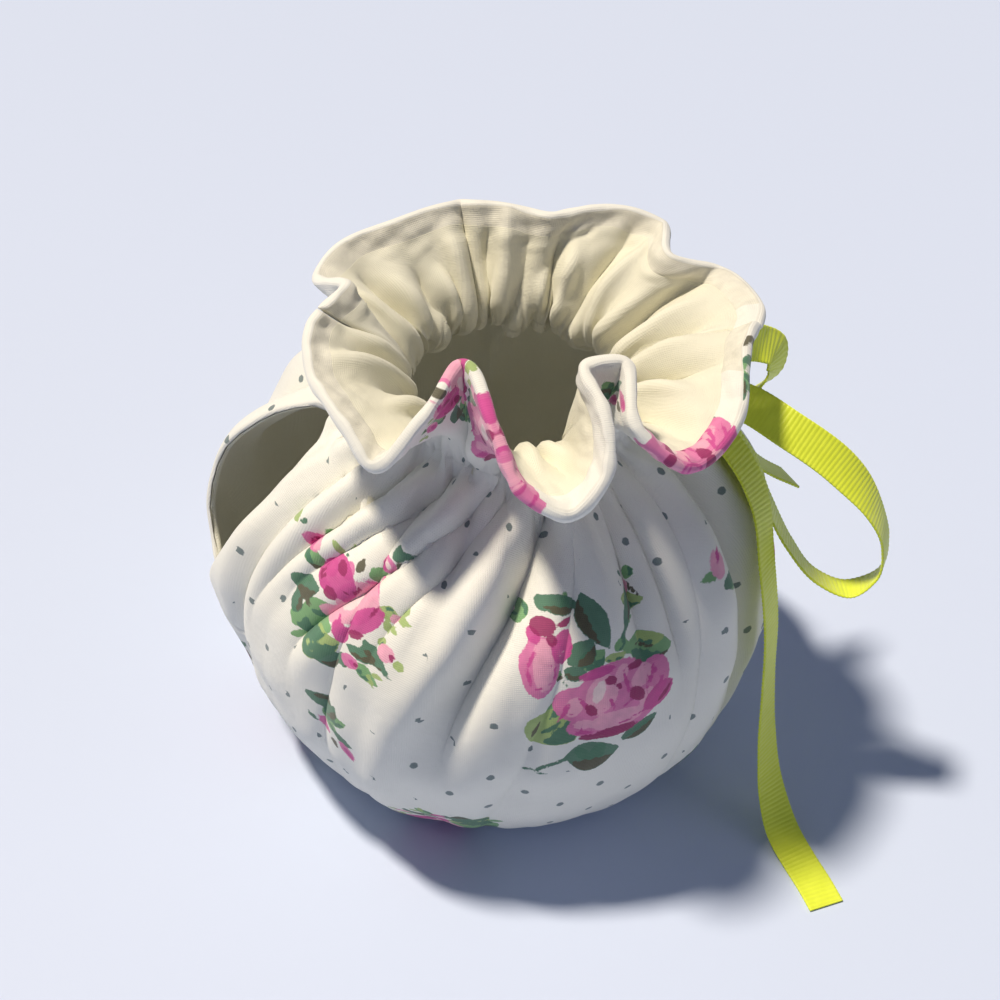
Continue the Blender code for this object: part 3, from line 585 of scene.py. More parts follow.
# the print, charted in mm; x runs to the right and y up on the right side of the cloth
# each row: ink, kind, then its shapes as x, y, length, width and turn
bouquetLeft = (
    # leaves on the left and below
    ("inkLeaf", "petal", (-7.2, -9.6, 12.5, 9.5, 10), (-6, -3.6, 7.5, 5, 30)),
    ("inkFir", "leaf", (-10.6, 0.8, 10.5, 6, 8), (-13.2, -6.2, 9, 3.4, 80), (-7, -12.6, 4, 1.2, 80),
     (-4.4, -15.8, 5, 1, 30)),
    ("inkLime", "leaf", (-13.6, 0.8, 4.5, 3.6, 80), (-10.6, 2, 6, 1.2, 8)),
    ("inkLeaf", "leaf", (-11.8, -10.6, 8, 4.4, 60), (-12.4, -16.6, 5.5, 1.6, 40)),
    ("inkLime", "petal", (-2.4, -12.4, 6.5, 6.2, 20), (-6.2, -16, 7, 7.6, -20)),
    ("inkFir", "petal", (-1.6, -17.6, 6.2, 6.4, 20)),
    ("inkOlive", "leaf", (-8.6, -4.4, 3.6, 1.4, -30)),
    # bud at the upper left
    ("inkPink", "petal", (-12, 14.1, 8, 6.2, -12)),
    ("inkHot", "petal", (-12.6, 13.4, 4.6, 3.4, -10)),
    ("inkPale", "petal", (-9.2, 13.6, 2.2, 3.8, -20)),
    ("inkWine", "arc", (-12, 13.8, 2.4, 0.7, 120)),
    ("inkOlive", "petal", (-11, 17.4, 1.8, 2.6, 20)),
    ("inkLeaf", "leaf", (-10.4, 19.2, 4.4, 2.6, 60), (-9.2, 9.8, 6, 4, -70)),
    ("inkLime", "leaf", (-18.2, 19.6, 4.6, 1.8, 120), (-18.8, 17.2, 4, 1.4, 170)),
    ("inkFir", "leaf", (-15.6, 18.6, 2.6, 0.9, 60)),
    ("inkOlive", "leaf", (-9, 7.6, 3.8, 1.4, 0)),
    # deep rose
    ("inkHot", "petal", (-1.6, 7.8, 12.4, 13, 20)),
    ("inkPink", "petal", (-3.6, 9.4, 5.6, 6.4, 40), (2.6, 10.8, 4, 5.6, -10), (-3.6, 3.6, 5, 3, -20)),
    ("inkWine", "petal", (0.6, 10.6, 3.4, 4.6, 20), (-2.2, 2, 4, 3.4, 40), (-6, 6, 1.4, 4, 20)),
    ("inkWine", "arc", (-1.8, 8, 3.4, 0.8, 210), (1.2, 8.4, 4.2, 0.7, -50)),
    ("inkPale", "petal", (-3, 9.4, 3, 1.6, 30)),
    ("inkHot", "arc", (-3.8, 9.4, 1.8, 0.7, 100), (-2.6, 7.4, 4.8, 0.8, 150)),
    # pale rose
    ("inkPale", "petal", (6, 2, 17, 12, 52), (-1, -4.2, 8.5, 6.5, 0)),
    ("inkCream", "petal", (4.4, 1.4, 9, 4.2, 56)),
    ("inkPink", "petal", (11.4, 7.4, 3, 7.5, 10), (8.8, 9.8, 5, 1.8, -20), (5.4, 2.6, 2.2, 4, -30),
     (2.6, -8.2, 2, 3, 0), (10.2, -1.2, 8, 1.2, 48), (-1.8, -2.4, 5, 0.9, 15)),
    ("inkHot", "petal", (9.2, -2.8, 13.5, 6, 45), (2.4, -9, 4.4, 6.2, 10), (1.4, 2.4, 1.2, 2.6, -20)),
    ("inkWine", "petal", (6.4, -8, 4.6, 2.8, 10), (11.6, 0.8, 4, 1.1, 60)),
    ("inkHot", "arc", (-0.6, -4.6, 2.6, 0.8, 330)),
    ("inkPink", "arc", (5.6, 2.2, 4.6, 0.7, 20)),
    # sprig on the right
    ("inkLime", "leaf", (15, 1.4, 5.5, 3.2, 160), (20.2, 2.2, 4.6, 2, 60), (20.2, -1, 4.6, 1.6, -25),
     (15.2, -3, 5, 1.8, -80), (17.4, -3.8, 4, 1.4, -50)),
    ("inkPale", "petal", (17.2, 0, 3.2, 3.4, 0)),
    ("inkLeaf", "leaf", (14, 0.4, 3.4, 1.6, 180)),
    # bud at the upper right
    ("inkPink", "petal", (13.6, 16.8, 4.6, 4.6, 10)),
    ("inkHot", "petal", (12.6, 16.4, 2, 3, 0)),
    ("inkCream", "petal", (13.8, 16.6, 1.4, 2.4, 10)),
    ("inkOlive", "petal", (16.6, 16.4, 2.2, 4.6, -10)),
    ("inkLeaf", "leaf", (10.6, 13.4, 6.4, 3.4, 40)),
    ("inkFir", "leaf", (17, 20.6, 5, 1.8, 60), (19.2, 21, 4.4, 1.5, 15)),
    ("inkOlive", "leaf", (14, 13, 4, 1.2, 10), (5.8, 13.6, 5, 1.8, 70)),
    ("inkLime", "leaf", (-3.2, 16.6, 4.8, 1.8, -55), (-0.2, 18.2, 4.8, 1.5, 75)),
    ("inkFir", "petal", (0.6, 14.4, 1.6, 1.4, 0)),
    # small buds below
    ("inkOlive", "leaf", (8.8, -13.4, 9.6, 3, -18)),
    ("inkFir", "leaf", (12, -12.8, 10, 3.4, -50), (14.8, -16.8, 3.4, 1.2, -50), (2.6, -17.2, 4.6, 3, 100)),
    ("inkPale", "petal", (15, -11, 5, 5, 30)),
    ("inkWine", "petal", (16.6, -11.8, 1.6, 2.2, 0), (6.6, -17.2, 1.2, 2.2, 30)),
    ("inkLime", "leaf", (18.4, -13.8, 4, 2, -60), (13.6, -7.8, 3.6, 2.6, 10), (10.4, -20.8, 4.6, 1.4, -65),
     (12.4, -18.4, 3.6, 1.2, -30)),
    ("inkPink", "petal", (4.8, -16.6, 5, 4.2, -20)),
    ("inkHot", "petal", (5.6, -16.8, 3.2, 1.6, -55)),
    ("inkLeaf", "leaf", (9.4, -18.8, 8, 3, -45)),
)

fullRose = (
    ("inkPink", "petal", (1.8, -7.1, 27, 24, 0), (-9.5, -5, 11, 12, 30), (13, -4, 9, 14, -20), (1, 3.5, 14, 7, 5),
     (-6.5, -14.5, 12, 7, -15)),
    ("inkHot", "petal", (13.5, -10.5, 11, 7, 40), (-3, 4.4, 10.5, 3.6, 10), (4.6, -1.5, 1.1, 8.5, 8),
     (-7, -6, 1.4, 7, 25), (-12.4, -7.4, 1.1, 6, -30), (12.6, -2.4, 1, 6.5, -25), (14.8, -5.4, 1, 6, -30),
     (-8, -16, 6, 1.6, -8), (5.2, -14.8, 8, 1.1, 12), (10.6, -4.8, 1, 5, -10), (0.4, -7.4, 1, 4.6, 12),
     (6.4, 2.6, 4, 1.2, -30)),
    ("inkPale", "petal", (-2.2, -3.4, 8.6, 14, -16), (1.5, -13.5, 15, 6.6, 3), (9.5, -1.5, 8, 6, 30),
     (-9.8, -6, 5, 7, -20), (3.6, 2.4, 3.4, 6, -15), (-7.5, -13, 6, 3.4, -10), (10.2, -9, 5, 6, -25)),
    ("inkCream", "petal", (-2.8, -2.4, 3.4, 8, -16)),
    ("inkHot", "arc", (-9.8, -6.2, 2.4, 0.9, 200), (1.2, -4.2, 5.4, 0.8, -60), (10.8, -3, 3.6, 0.7, 60),
     (-5.2, -14.2, 3, 0.7, 240)),
    ("inkPale", "arc", (12.6, -10, 4.4, 0.7, -40)),
    ("inkWine", "petal", (0.6, 1, 3.2, 3.2, 20), (7.8, 2.9, 5.6, 2.4, -12), (7.2, -6.4, 3.8, 6.2, 28),
     (-5.4, -8.4, 2.8, 5, 25), (0.6, -18, 13, 3.8, 2), (-6, -18.4, 7, 2.2, -8), (2.6, -1.6, 1.6, 2.2, 20)),
    ("inkWine", "leaf", (15.6, -10.6, 8, 1.6, 48)),
)

bouquetRight = fullRose + (
    # half-open rose
    ("inkPink", "petal", (-18.6, 8.6, 9.5, 19, -6), (-21.5, 7, 4.6, 13, 8), (-12.2, 15, 3.2, 3.6, 30),
     (-18.9, 0.4, 3, 3.4, 0)),
    ("inkPale", "petal", (-17.6, 9, 5, 16.5, -4)),
    ("inkHot", "petal", (-11.8, 14.2, 6.6, 10.5, -15), (-19.2, 18, 4, 5, 20), (-20.4, 11, 1.1, 6.5, -30),
     (-21.4, 5.4, 1.3, 6, 10), (-18.6, 2.2, 4.2, 0.8, 20)),
    ("inkCream", "petal", (-12.9, 12.6, 2.4, 1, 10)),
    ("inkWine", "petal", (-16.4, 20.6, 6.4, 5.8, 10), (-14.8, 16.6, 2.4, 3.6, 0)),
    ("inkWine", "leaf", (-10.6, 21.6, 6.4, 2, 30)),
    ("inkHot", "arc", (-18.4, 7, 3.4, 0.6, 20)),
    # leaves between the flowers
    ("inkOlive", "petal", (-10.2, 27.2, 5.8, 10.2, -10), (-8.4, 5.8, 5.6, 4.6, -20)),
    ("inkLeaf", "petal", (-9.6, 26.8, 2.6, 7, -10), (-4, 9.4, 6.5, 7, 30), (-4.4, -25.6, 4, 8.6, -20),
     (-8, -24.6, 3.2, 6.5, 30)),
    ("inkFir", "petal", (-15, 27.4, 3.6, 5.4, 0), (-6.6, 12, 8, 7, 40), (-5.4, -25, 11.5, 11, 0)),
    ("inkLeaf", "leaf", (-21.8, 25.8, 7, 3.6, 95), (-24, 22.4, 4.8, 2.6, 165), (-14, 6, 4.4, 2.6, -20),
     (16, 30.2, 5, 2.6, 70), (8.2, 17.2, 5, 1.4, 10), (4, 12, 5, 2.6, 60), (6.4, 9.4, 5, 2.4, -70),
     (13.8, 6.8, 15.5, 8, -30), (-13.8, -11.4, 10, 5.5, 35), (-16, -7, 6, 3.4, 70), (7.4, -20, 8, 1.8, 24)),
    ("inkLime", "petal", (-4.6, 10.4, 1.8, 4.2, -30), (12.4, 22.4, 5.4, 9, -20), (2.4, 8.4, 5.6, 3, 0)),
    ("inkOlive", "leaf", (-13.4, 4.6, 4, 1.4, 20), (-0.9, 20.2, 17, 6.4, -77), (15.4, 25, 8, 1.2, -70),
     (12.6, 7, 9, 1.1, -28), (17.6, 1.8, 6, 0.9, -8), (-20.4, -13, 7, 1, 70)),
    ("inkFir", "stem", (-11.6, 2.4, 3.6, 0.6, -65), (5.8, 14.6, 5, 1.1, 50), (-15, -27, 9, 1.3, 22),
     (-20.6, -29.4, 5.6, 0.9, 12)),
    ("inkFir", "leaf", (-2.2, 22.6, 9, 2.2, -80), (9.2, 21.4, 13, 2.8, 64), (10.8, 31, 3.6, 1.1, 110),
     (-15.6, -12.6, 8, 1, 45), (7.4, -19.8, 11.5, 4.6, 24), (-18.6, -30.4, 3.6, 1, -20)),
    ("inkPale", "petal", (13.4, 26.2, 3, 5, -20)),
    ("inkLime", "leaf", (14.6, 8.8, 10, 3.8, -26), (-16.6, -11.8, 15, 11.5, 52)),
)

budSprig = (
    ("inkFir", "leaf", (-3, 5.5, 7, 3.4, 165), (-0.5, 4, 6, 3, 60), (3.6, -2.6, 5.5, 1.6, -35),
     (-4.2, -1.6, 3, 1.1, -50)),
    ("inkLeaf", "leaf", (1.5, 3, 5, 2.6, 20), (0, 0.5, 7.5, 2.4, -50)),
    ("inkFir", "stem", (1.2, -1.5, 9, 0.9, -52)),
    ("inkPink", "petal", (-1.6, -2.6, 5.4, 2.6, -60), (4.2, -6.2, 6, 2.6, -55)),
    ("inkHot", "petal", (-1, -3.2, 4, 1.2, -62), (4.6, -6.9, 4.4, 1.4, -56)),
    ("inkOlive", "leaf", (1.4, -6.4, 3.4, 1.2, -70)),
)

smallBud = (
    ("inkPale", "petal", (0, 1.6, 5.2, 3.2, 70)),
    ("inkPink", "petal", (-0.6, 2, 3.8, 1.5, 68)),
    ("inkHot", "petal", (0.8, 3, 2.6, 0.9, 60)),
    ("inkFir", "leaf", (1.2, -2.2, 4.6, 2, 10), (5.6, -5.6, 3.4, 1, 10)),
    ("inkLeaf", "leaf", (1.8, -3.4, 4.2, 1.5, -30), (-2.4, 0.4, 3.4, 1.4, 170)),
    ("inkFir", "stem", (3.4, -5, 7, 0.8, -60)),
)

bodyPrint = (
    # motif, place across the print, height up the cloth, turn, width, height, as shares of the size charted
    (bouquetLeft, 298, 94.5, 16, 1.2, 0.76), (bouquetRight, 381, 85.5, 2, 1.03, 0.82),
    (budSprig, 305.5, 60, 0, 1.45, 1), (smallBud, 425, 98, 0, 1.6, 1.4),
    (bouquetLeft, 338, 17, 170, 1, 0.8), (budSprig, 230, 129, 30, 1, 1),
    (bouquetLeft, 258, 22, 40, 1.1, 0.9), (budSprig, 420, 32, 60, 1.2, 1),
    (bouquetRight, 150, 82, 0, 1.1, 0.9), (bouquetLeft, 82, 98, -4, 1.2, 0.9),
    (budSprig, 88, 58, 0, 1.4, 1), (bouquetLeft, 118, 20, 170, 1, 0.8),
    (smallBud, 206, 60, 0, 1.2, 1), (bouquetLeft, 30, 18, 20, 1, 0.8),
    (bouquetRight, 9, 66, 0, 1, 0.85), (budSprig, 128, 126, 30, 1.1, 0.9),
    (smallBud, 205, 20, 40, 1.1, 1), (smallBud, 50, 126, 40, 1.1, 0.9),
)

frillScale = 0.923                                               # the ruffle's print to its cut length
plainEdge = ((-200.0, 242.0), (262.0, 300.0), (338.0, 560.0))    # neck angles with no print on the edge turned in
creamEdge = ((8.0, 222.0), (345.0, 560.0))                       # and those where that edge is cream

frillPrint = (
    # motif, neck angle, height up the cloth, turn, width and height as shares of the size charted
    (fullRose, 249.5, 177, 25, 1.2, 1.3), (bouquetLeft, 238, 172, 60, 0.8, 0.7),
    (fullRose, 322, 189, -8, 1.15, 0.95), (budSprig, 304, 170, 100, 1.5, 1.2),
    (smallBud, 234, 174, 30, 1.6, 1.4), (budSprig, 256, 178, 40, 1.3, 1.2),
    (budSprig, 178, 160, 20, 1.1, 1), (bouquetLeft, 140, 156, 20, 0.9, 0.75),
    (budSprig, 346, 178, 90, 1.5, 1.3), (budSprig, 205, 158, 20, 1, 0.9),
    (bouquetRight, 70, 154, -20, 0.8, 0.65), (bouquetLeft, 20, 156, 20, 0.9, 0.75),
    (smallBud, 331, 187, 100, 1.4, 1.4),
)


dots = {"across": cosy["printWidth"] / 24.0, "up": cosy["printWidth"] / 24.0 * 0.84, "radius": 1.12}    # mm


def motifShape(kind, x, y, length, width):
    # how far inside a shape a point lies, in mm; x runs along the shape and y across it
    half, side = 0.5 * length, 0.5 * width
    if kind == "petal":
        return (1.0 - np.hypot(x / half, y / side)) * min(half, side)
    if kind == "leaf":
        run = np.clip(x / half, -1.3, 1.3)
        return side * (1.0 - run**2) * (1.0 - 0.25 * run) - np.abs(y + 0.12 * width * (1 - run**2))
    if kind == "stem":
        return side - np.hypot(np.maximum(np.abs(x) - half + side, 0.0), y + 0.03 * x * x / half)
    away = np.arctan2(y, x)      # arc: the length is its radius, the width its thickness
    return side * (1.0 - (away / 1.35) ** 2) - np.abs(np.hypot(x, y) - length)


def inkMotif(inks, across, up, motif, left, low, turn, wide, tall):
    near = np.flatnonzero((np.abs(across - left) < 38.0 * wide) & (np.abs(up - low) < 38.0 * tall))
    if not len(near):
        return
    cosT, sinT = math.cos(math.radians(turn)), math.sin(math.radians(turn))
    dx, dy = (across[near] - left) / wide, (up[near] - low) / tall
    dx, dy = dx * cosT + dy * sinT, dy * cosT - dx * sinT
    for inkName, shapeKind, *shapes in motif:
        for shape in shapes:
            inkShape(inks, near, dx, dy, inkName, shapeKind, *shape)


def inkShape(inks, near, dx, dy, ink, kind, x, y, length, width, lean):
    c, s = math.cos(math.radians(lean)), math.sin(math.radians(lean))
    px, py = dx - x, dy - y
    px, py = px * c + py * s, py * c - px * s
    green = ink in ("inkLeaf", "inkFir", "inkLime", "inkOlive")
    if green and kind == "petal" and length > 5.0:
        kind, length, width = "leaf", 1.25 * max(length, width), 1.1 * min(length, width)
    elif green and kind == "leaf":
        length, width = 1.08 * length, 1.3 * width
    if ink == "inkOlive" and kind == "leaf" and width > 3.2:
        ink = "inkFir"
    depth = motifShape(kind, px, py, length, width)
    inks[ink][near] = np.maximum(inks[ink][near], depth)
    if green and kind == "leaf" and width > 3.2:      # painted in two tones, dark below the vein
        second = "inkFir" if ink in ("inkLeaf", "inkLime") else "inkOlive"
        stroke = np.minimum(depth - 0.25, -py - 0.2 * width + 0.25 * np.sin(px * 2.4))
        inks[second][near] = np.maximum(inks[second][near], stroke)


def inkCloth(piece, places):
    # every ink's depth at every point of the cloth, kept as attributes that the material cuts at zero
    across, up = places.reshape(-1, 2).T
    inks = {name: np.full(len(across), -3.0) for name in screens}
    onBody = up < bodyLength
    bodyAcross = np.where(onBody, across, 1e6)
    frillAcross = np.where(onBody, 1e6, across)
    for turnCount in (-1, 0, 1):
        shift = cosy["printWidth"] * turnCount
        for motif, left, low, *rest in bodyPrint:
            inkMotif(inks, bodyAcross, up, motif, left + shift, low, *rest)
        for motif, angle, low, *rest in frillPrint:
            inkMotif(inks, frillAcross, up, motif, placeAt(angle) * frillScale + shift, low, *rest)
    place = frillAcross * cosy["cutWidth"] / cosy["printWidth"]
    plain, cream = (np.any([(place > placeAt(a)) & (place < placeAt(b)) for a, b in ranges], axis=0)
                    & (up > clothLength + 2.2) for ranges in (plainEdge, creamEdge))
    for depth in inks.values():
        depth[plain] = -3.0
    inks["inkEdge"] = np.where(cream, 3.0, -3.0)
    free = np.max([inks[name] for name in screens if name not in ("inkDot", "inkEdge")], axis=0) < -1.6
    free &= up < clothLength + 2.0
    for shift in (0.0, 0.5):
        x = (across / dots["across"] + shift) % 1.0 - 0.5
        y = (up / dots["up"] + shift) % 1.0 - 0.5
        dot = dots["radius"] - np.hypot(x * dots["across"], y * dots["up"])
        inks["inkDot"] = np.maximum(inks["inkDot"], np.where(free, dot, -3.0))
    for name, depth in inks.items():
        layer = piece.data.attributes.new(name, "FLOAT", "POINT")
        layer.data.foreach_set("value", depth.astype(np.float32))


# cover and lining
def makeCloth():
    cotton, cream = printedCotton(), liningCotton()
    pieces = []
    for side in cosy["seams"]:
        grid = panelGrid(side)
        for kind, rows, material in (("cover", coverRows(), cotton), ("lining", liningRows(), cream)):
            points = sheetPoints(grid, rows)
            places = printPlaces(grid, rows)
            heights = rows[0]
            faces = tubeFaces(*points.shape[:2], heights)
            piece = buildMesh(kind + side.capitalize() + "Cloth", points, faces)
            piece.data.materials.append(material)
            addUv(piece, places)
            if kind == "cover":
                inkCloth(piece, places)
            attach(piece, "root")
            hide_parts(kind + "_" + side)
            pieces.append(piece)
            print("made", piece.name, len(piece.data.polygons), "quads")
    return pieces


# ribbon bow
bow = {
    "width": 10.0, "thickness": 0.55, "ribPitch": 1.25, "ribDepth": 0.13, "step": 0.2,
    "knot": (-9.0, 40.5, 112.2),       # angle, radius and height of its middle
    "knotTake": 30.0,                  # length used up inside the knot
    "ringHeights": np.concatenate([np.arange(9.0), np.arange(8.5, 0.0, -1.0)]),
    "runs": {
        # x, y, z of the middle line, then the direction across the ribbon
        "longLoop": (
            (36, -6, 113.2, 0.16, 0.98, 0), (47, -6, 113.5, 0.2, 0.95, 0.15),
            (57, -5, 111, 0.4, 0.7, 0.5), (69.5, -13.5, 108, 0.44, 0.58, 0.69),
            (82, -21, 102, 0.44, 0.62, 0.55), (91, -26, 93, 0.42, 0.68, 0),
            (96, -29, 82, 0.41, 0.69, -0.5), (95.5, -31, 71, 0.3, 0.8, -0.5),
            (89, -31, 66, 0.11, 0.93, -0.35), (80, -29, 69, 0.2, 0.9, -0.4),
            (72, -24.5, 77.5, 0.4, 0.75, -0.53), (65.5, -18, 88, 0.44, 0.73, -0.53),
            (60, -12.5, 98, 0.5, 0.7, -0.4), (52, -8, 106, 0.3, 0.9, -0.1),
            (45, -6.5, 109.2, 0.16, 0.98, 0), (36, -6, 109.9, 0.16, 0.98, 0),
        ),
        "shortLoop": (
            (36, -5, 112.6, 0.16, 0.98, 0), (46, 1.5, 113.3, 0.1, 0.95, 0.2),
            (54, 10, 112.6, 0.4, 0.7, 0.4), (61, 16, 110.8, 0.65, 0.65, 0.3),
            (68, 20, 108, 0.71, 0.68, 0.17), (73.5, 21.5, 103.5, 0.68, 0.68, -0.1),
            (73.5, 20.5, 98, 0.68, 0.68, -0.25), (67.5, 17, 94, 0.5, 0.8, -0.3),
            (60, 10.5, 96, 0.4, 0.85, -0.3), (52, 2.5, 103, 0.3, 0.9, -0.1),
            (45, -3, 108.6, 0.16, 0.98, 0), (36, -5.5, 109.5, 0.16, 0.98, 0),
        ),
        "longEnd": (
            (36, -7, 111.2, 0.3, 0.95, 0), (47, -10, 109.5, 0.4, 0.9, 0),
            (56, -17, 103, 0.5, 0.87, 0), (61.5, -24, 94, 0.5, 0.87, 0),
            (64, -33, 80, 0.5, 0.87, 0), (67, -39.5, 61, 0.5, 0.87, 0),
            (68, -44.5, 44, 0.5, 0.87, 0), (69, -50.5, 28, 0.6, 0.8, 0),
            (71.5, -57, 12.5, 0.75, 0.65, 0), (75, -65, 3.2, 0.9, 0.4, 0),
            (78.5, -73, 0.6, 0.94, 0.34, 0), (81, -80, 0.4, 0.94, 0.34, 0),
            (83, -87, 0.4, 0.94, 0.34, 0),
        ),
        "shortEnd": (
            (36, -6, 110.6, 0.16, 0.98, 0), (46, -7, 108.3, 0.16, 0.98, 0),
            (54, -6.5, 102, 0.1, 0.97, 0), (61.5, -5.5, 93, 0, 0.95, -0.2),
            (68.5, -4.5, 86, -0.05, 0.95, -0.3), (76, -3, 80, -0.09, 0.94, -0.33),
        ),
    },
}


def ribbonRun(route):
    # a flat strip whose faces rise and fall in ribs across it, with a thicker woven edge
    table = np.array(route)
    knots = np.concatenate([[0.0], np.cumsum(np.linalg.norm(np.diff(table[:, :3], axis=0), axis=1))])
    stations = np.arange(0.0, knots[-1], bow["step"])
    samples = hermite(knots, table, stations)
    middle = samples[:, :3]
    middle[:, 2] = np.maximum(middle[:, 2], 0.5 * bow["thickness"] + bow["ribDepth"])
    along = unit(np.gradient(middle, axis=0))
    across = samples[:, 3:]
    across = unit(across - along * np.sum(across * along, axis=1, keepdims=True))
    face = np.cross(along, across)
    share = np.array([-1.0, -0.94, -0.86, -0.5, 0.0, 0.5, 0.86, 0.94, 1.0])
    edge = np.array([0.45, 1.15, 0.95, 1.0, 1.0, 1.0, 0.95, 1.15, 0.45])
    rib = 0.5 * bow["thickness"] + bow["ribDepth"] * (np.abs(np.sin(math.pi * stations / bow["ribPitch"])) - 0.5)
    scallop = 1.0 + 0.012 * np.abs(np.sin(math.pi * stations / bow["ribPitch"]))
    sideways = across[:, None] * (share[None, :] * 0.5 * bow["width"] * scallop[:, None])[..., None]
    height = face[:, None] * (rib[:, None] * edge[None, :])[..., None]
    front = middle[:, None] + sideways + height
    back = middle[:, None] + sideways - height
    ring = np.concatenate([front, back[:, ::-1]], axis=1)
    uv = np.stack([np.broadcast_to(np.concatenate([share, share[::-1]]) * 5.0, ring.shape[:2]),
                   np.broadcast_to(stations[:, None], ring.shape[:2])], axis=-1)
    return ring.transpose(1, 0, 2), uv.transpose(1, 0, 2), knots[-1]


def knotWrap():
    # one turn of ribbon pulled tight round the strands: a pinched ring, creased along its length
    angle, radius, height = bow["knot"]
    around = np.linspace(0.0, math.tau, 97)[:-1]
    share = np.linspace(-1.0, 1.0, 15)
    crease = 0.35 * np.cos(share * 7.0) + 0.2 * np.cos(share * 15.0 + 1.0)
    swell = 1.0 + 0.16 * (1.0 - share**2)
    out = polar(angle, 1.0, 0.0)
    side = np.array([-out[1], out[0], 0.0])
    up = np.array([0.0, 0.0, 1.0])
    centre = polar(angle, radius, height)
    rings = []
    for lift in (0.55, -0.1):
        wide = (5.6 * swell + lift + crease)[:, None]
        tall = (3.6 * swell + lift + crease)[:, None]
        skew = 0.9 * np.sin(around)[None, :]
        length = share[:, None] * 4.6 + skew
        rings.append(centre + length[..., None] * out + (wide * np.cos(around))[..., None] * side
                     + (tall * np.sin(around))[..., None] * up)
    ring = np.concatenate([rings[0], rings[1][::-1]], axis=0)
    uv = np.stack([np.broadcast_to(np.concatenate([share, share[::-1]])[:, None] * 5.0, ring.shape[:2]),
                   np.broadcast_to(around[None, :] * 5.0, ring.shape[:2])], axis=-1)
    return ring, uv


def grosgrain():
    # polyester grosgrain: ribbed, soft shine along the ribs, brighter where a rib catches the light
    material, tree, shader = newMaterial("grosgrainRibbon")
    uv = addNode(tree, "ShaderNodeUVMap", {"uv_map": "clothUv"}).outputs[0]
    fine = addNode(tree, "ShaderNodeTexWave", {"bands_direction": "X", "Scale": 90.0, "Distortion": 0.5},
                   {"Vector": uv})
    bump = addNode(tree, "ShaderNodeBump", {"Strength": 0.4, "Distance": 0.00006}, {"Height": fine.outputs["Fac"]})
    blotch = addNode(tree, "ShaderNodeTexNoise", {"Scale": 30.0, "Detail": 2.0}, {"Vector": uv})
    colour = addNode(tree, "ShaderNodeMix", {"data_type": "RGBA"}, {"Factor": blotch.outputs["Fac"]})
    colour.inputs["A"].default_value = linear("#D8E42C")
    colour.inputs["B"].default_value = linear("#E6F040")
    tree.links.new(colour.outputs["Result"], shader.inputs["Base Color"])
    tree.links.new(bump.outputs[0], shader.inputs["Normal"])
    shader.inputs["Roughness"].default_value = 0.42
    shader.inputs["Sheen Weight"].default_value = 0.2
    return material


def makeBow():
    points, faces, places, count, length = [], [], [], 0, 0.0
    for route in bow["runs"].values():
        ring, uv, runLength = ribbonRun(route)
        points.append(ring.reshape(-1, 3))
        places.append(uv.reshape(-1, 2))
        faces += [part + count for part in tubeFaces(*ring.shape[:2], bow["ringHeights"])]
        count += ring.shape[0] * ring.shape[1]
        length += runLength
    ring, uv = knotWrap()
    rows, columns = ring.shape[:2]
    index = np.arange(rows * columns).reshape(rows, columns)
    right, ahead = np.roll(index, -1, axis=1), np.roll(index, -1, axis=0)
    both = np.roll(right, -1, axis=0)
    faces.append(np.stack([index, right, both, ahead], axis=-1).reshape(-1, 4) + count)
    points.append(ring.reshape(-1, 3))
    places.append(uv.reshape(-1, 2))
    piece = buildMesh("ribbonBow", np.concatenate(points), faces)
    piece.data.materials.append(grosgrain())
    addUv(piece, np.concatenate(places))
    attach(piece, "root")
    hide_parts("ribbon_bow")
    print("made", piece.name, len(piece.data.polygons), "quads")
    return piece


# camera, floor and light
view = {
    "elevation": 43.0, "azimuth": -9.0, "roll": 5.0, "distance": 0.5, "lens": 70.2,
    "target": (0.0, 0.0, 108.0),            # on the neck's axis
    "aimRight": -0.0077, "aimUp": -0.0513,  # the view's middle, from the target, in the lens's own slope
}


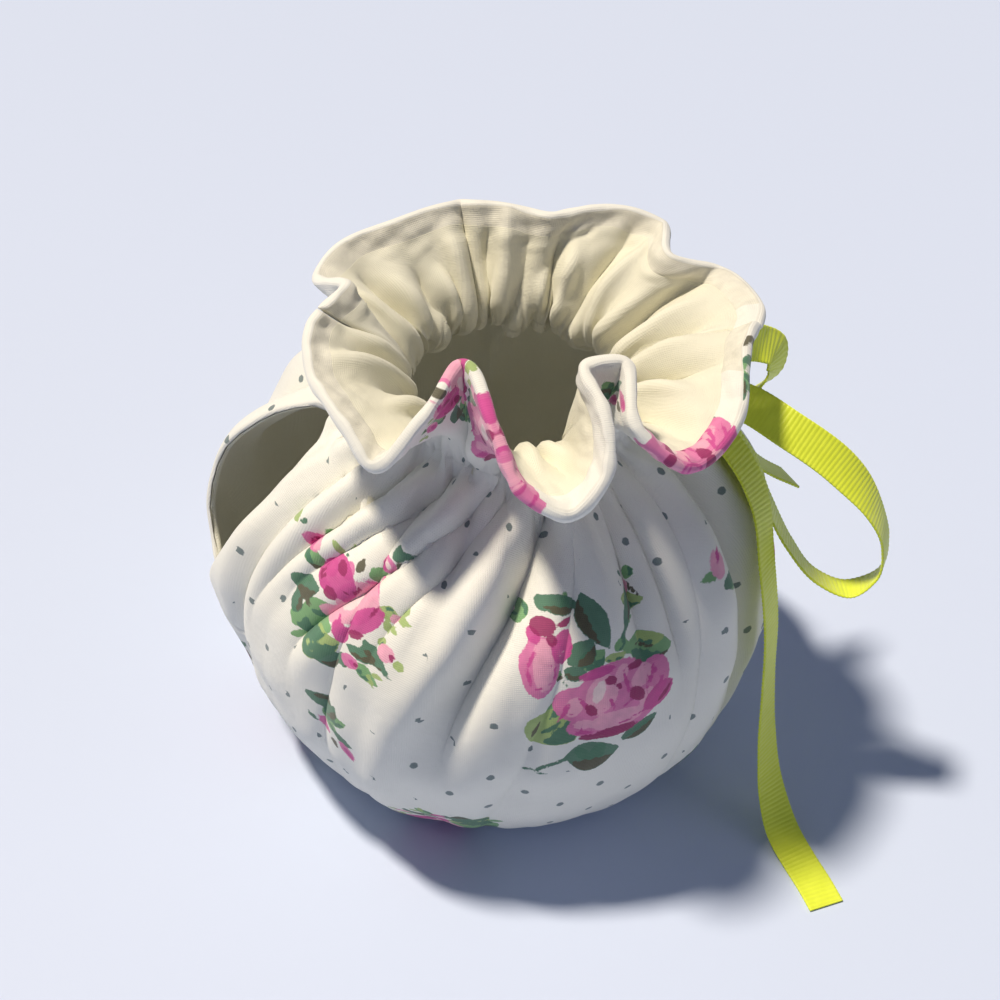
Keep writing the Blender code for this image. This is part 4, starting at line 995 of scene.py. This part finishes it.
def makeCamera():
    e, a, r = (math.radians(view[name]) for name in ("elevation", "azimuth", "roll"))
    back = Vector((math.sin(a) * math.cos(e), -math.cos(a) * math.cos(e), math.sin(e)))
    right = Vector((math.cos(a), math.sin(a), 0.0))
    up = back.cross(right)
    right, up = right * math.cos(r) + up * math.sin(r), up * math.cos(r) - right * math.sin(r)
    target = Vector((cosy["axis"][0], cosy["axis"][1], 0.0)) * mm + Vector(view["target"]) * mm
    forward = (-back + right * view["aimRight"] + up * view["aimUp"]).normalized()
    right = (right - forward * right.dot(forward)).normalized()
    up = right.cross(forward)
    data = bpy.data.cameras.new("camera")
    data.lens = view["lens"]
    data.sensor_width = 36.0
    data.clip_start = 0.01
    camera = bpy.data.objects.new("camera", data)
    turn = Matrix((right, up, -forward)).transposed().to_4x4()
    camera.matrix_world = Matrix.Translation(target + back * view["distance"]) @ turn
    bpy.context.collection.objects.link(camera)
    bpy.context.scene.camera = camera


sun = {"from": (-0.42, 0.20, 1.03), "strength": 4.0, "spread": 6.5, "colour": "#FFF3E2"}
sky = {"colour": "#BFCFF6", "strength": 0.19}
floorColour = "#C9D4E9"
lights = (
    # name, place in metres, size, watts, colour
    ("lowLight", (-0.45, -0.95, 0.12), 0.4, 0.35, "#86A6FF"),
    ("fillLight", (0.95, -0.45, 0.60), 0.6, 0.65, "#F4F2FF"),
)


def addLight(name, kind, colour, energy, place, aim):
    data = bpy.data.lights.new(name, kind)
    data.energy = energy
    data.color = linear(colour)[:3]
    light = bpy.data.objects.new(name, data)
    light.location = place
    light.rotation_euler = (Vector(aim) - Vector(place)).to_track_quat("-Z", "Y").to_euler()
    bpy.context.collection.objects.link(light)
    return data


def makeStage():
    bpy.ops.mesh.primitive_plane_add(size=12.0, location=(0.0, 0.0, 0.0))
    floor = bpy.context.object
    floor.name = "floor"
    material, _, shader = newMaterial("paleFloor")
    shader.inputs["Base Color"].default_value = linear(floorColour)
    shader.inputs["Roughness"].default_value = 0.6
    floor.data.materials.append(material)
    data = addLight("keySun", "SUN", sun["colour"], sun["strength"], sun["from"], (0.0, 0.0, 0.0))
    data.angle = math.radians(sun["spread"])
    for name, place, size, watts, colour in lights:
        data = addLight(name, "AREA", colour, watts, place, (0.0, 0.0, 0.07))
        data.shape = "DISK"
        data.size = size
    world = bpy.data.worlds.new("studio")
    world.use_nodes = True
    background = world.node_tree.nodes["Background"]
    background.inputs["Color"].default_value = linear(sky["colour"])
    background.inputs["Strength"].default_value = sky["strength"]
    bpy.context.scene.world = world
    bpy.context.scene.view_settings.view_transform = "Standard"


makeCamera()
makeStage()
print("camera and light ready")
makeCloth()
makeBow()
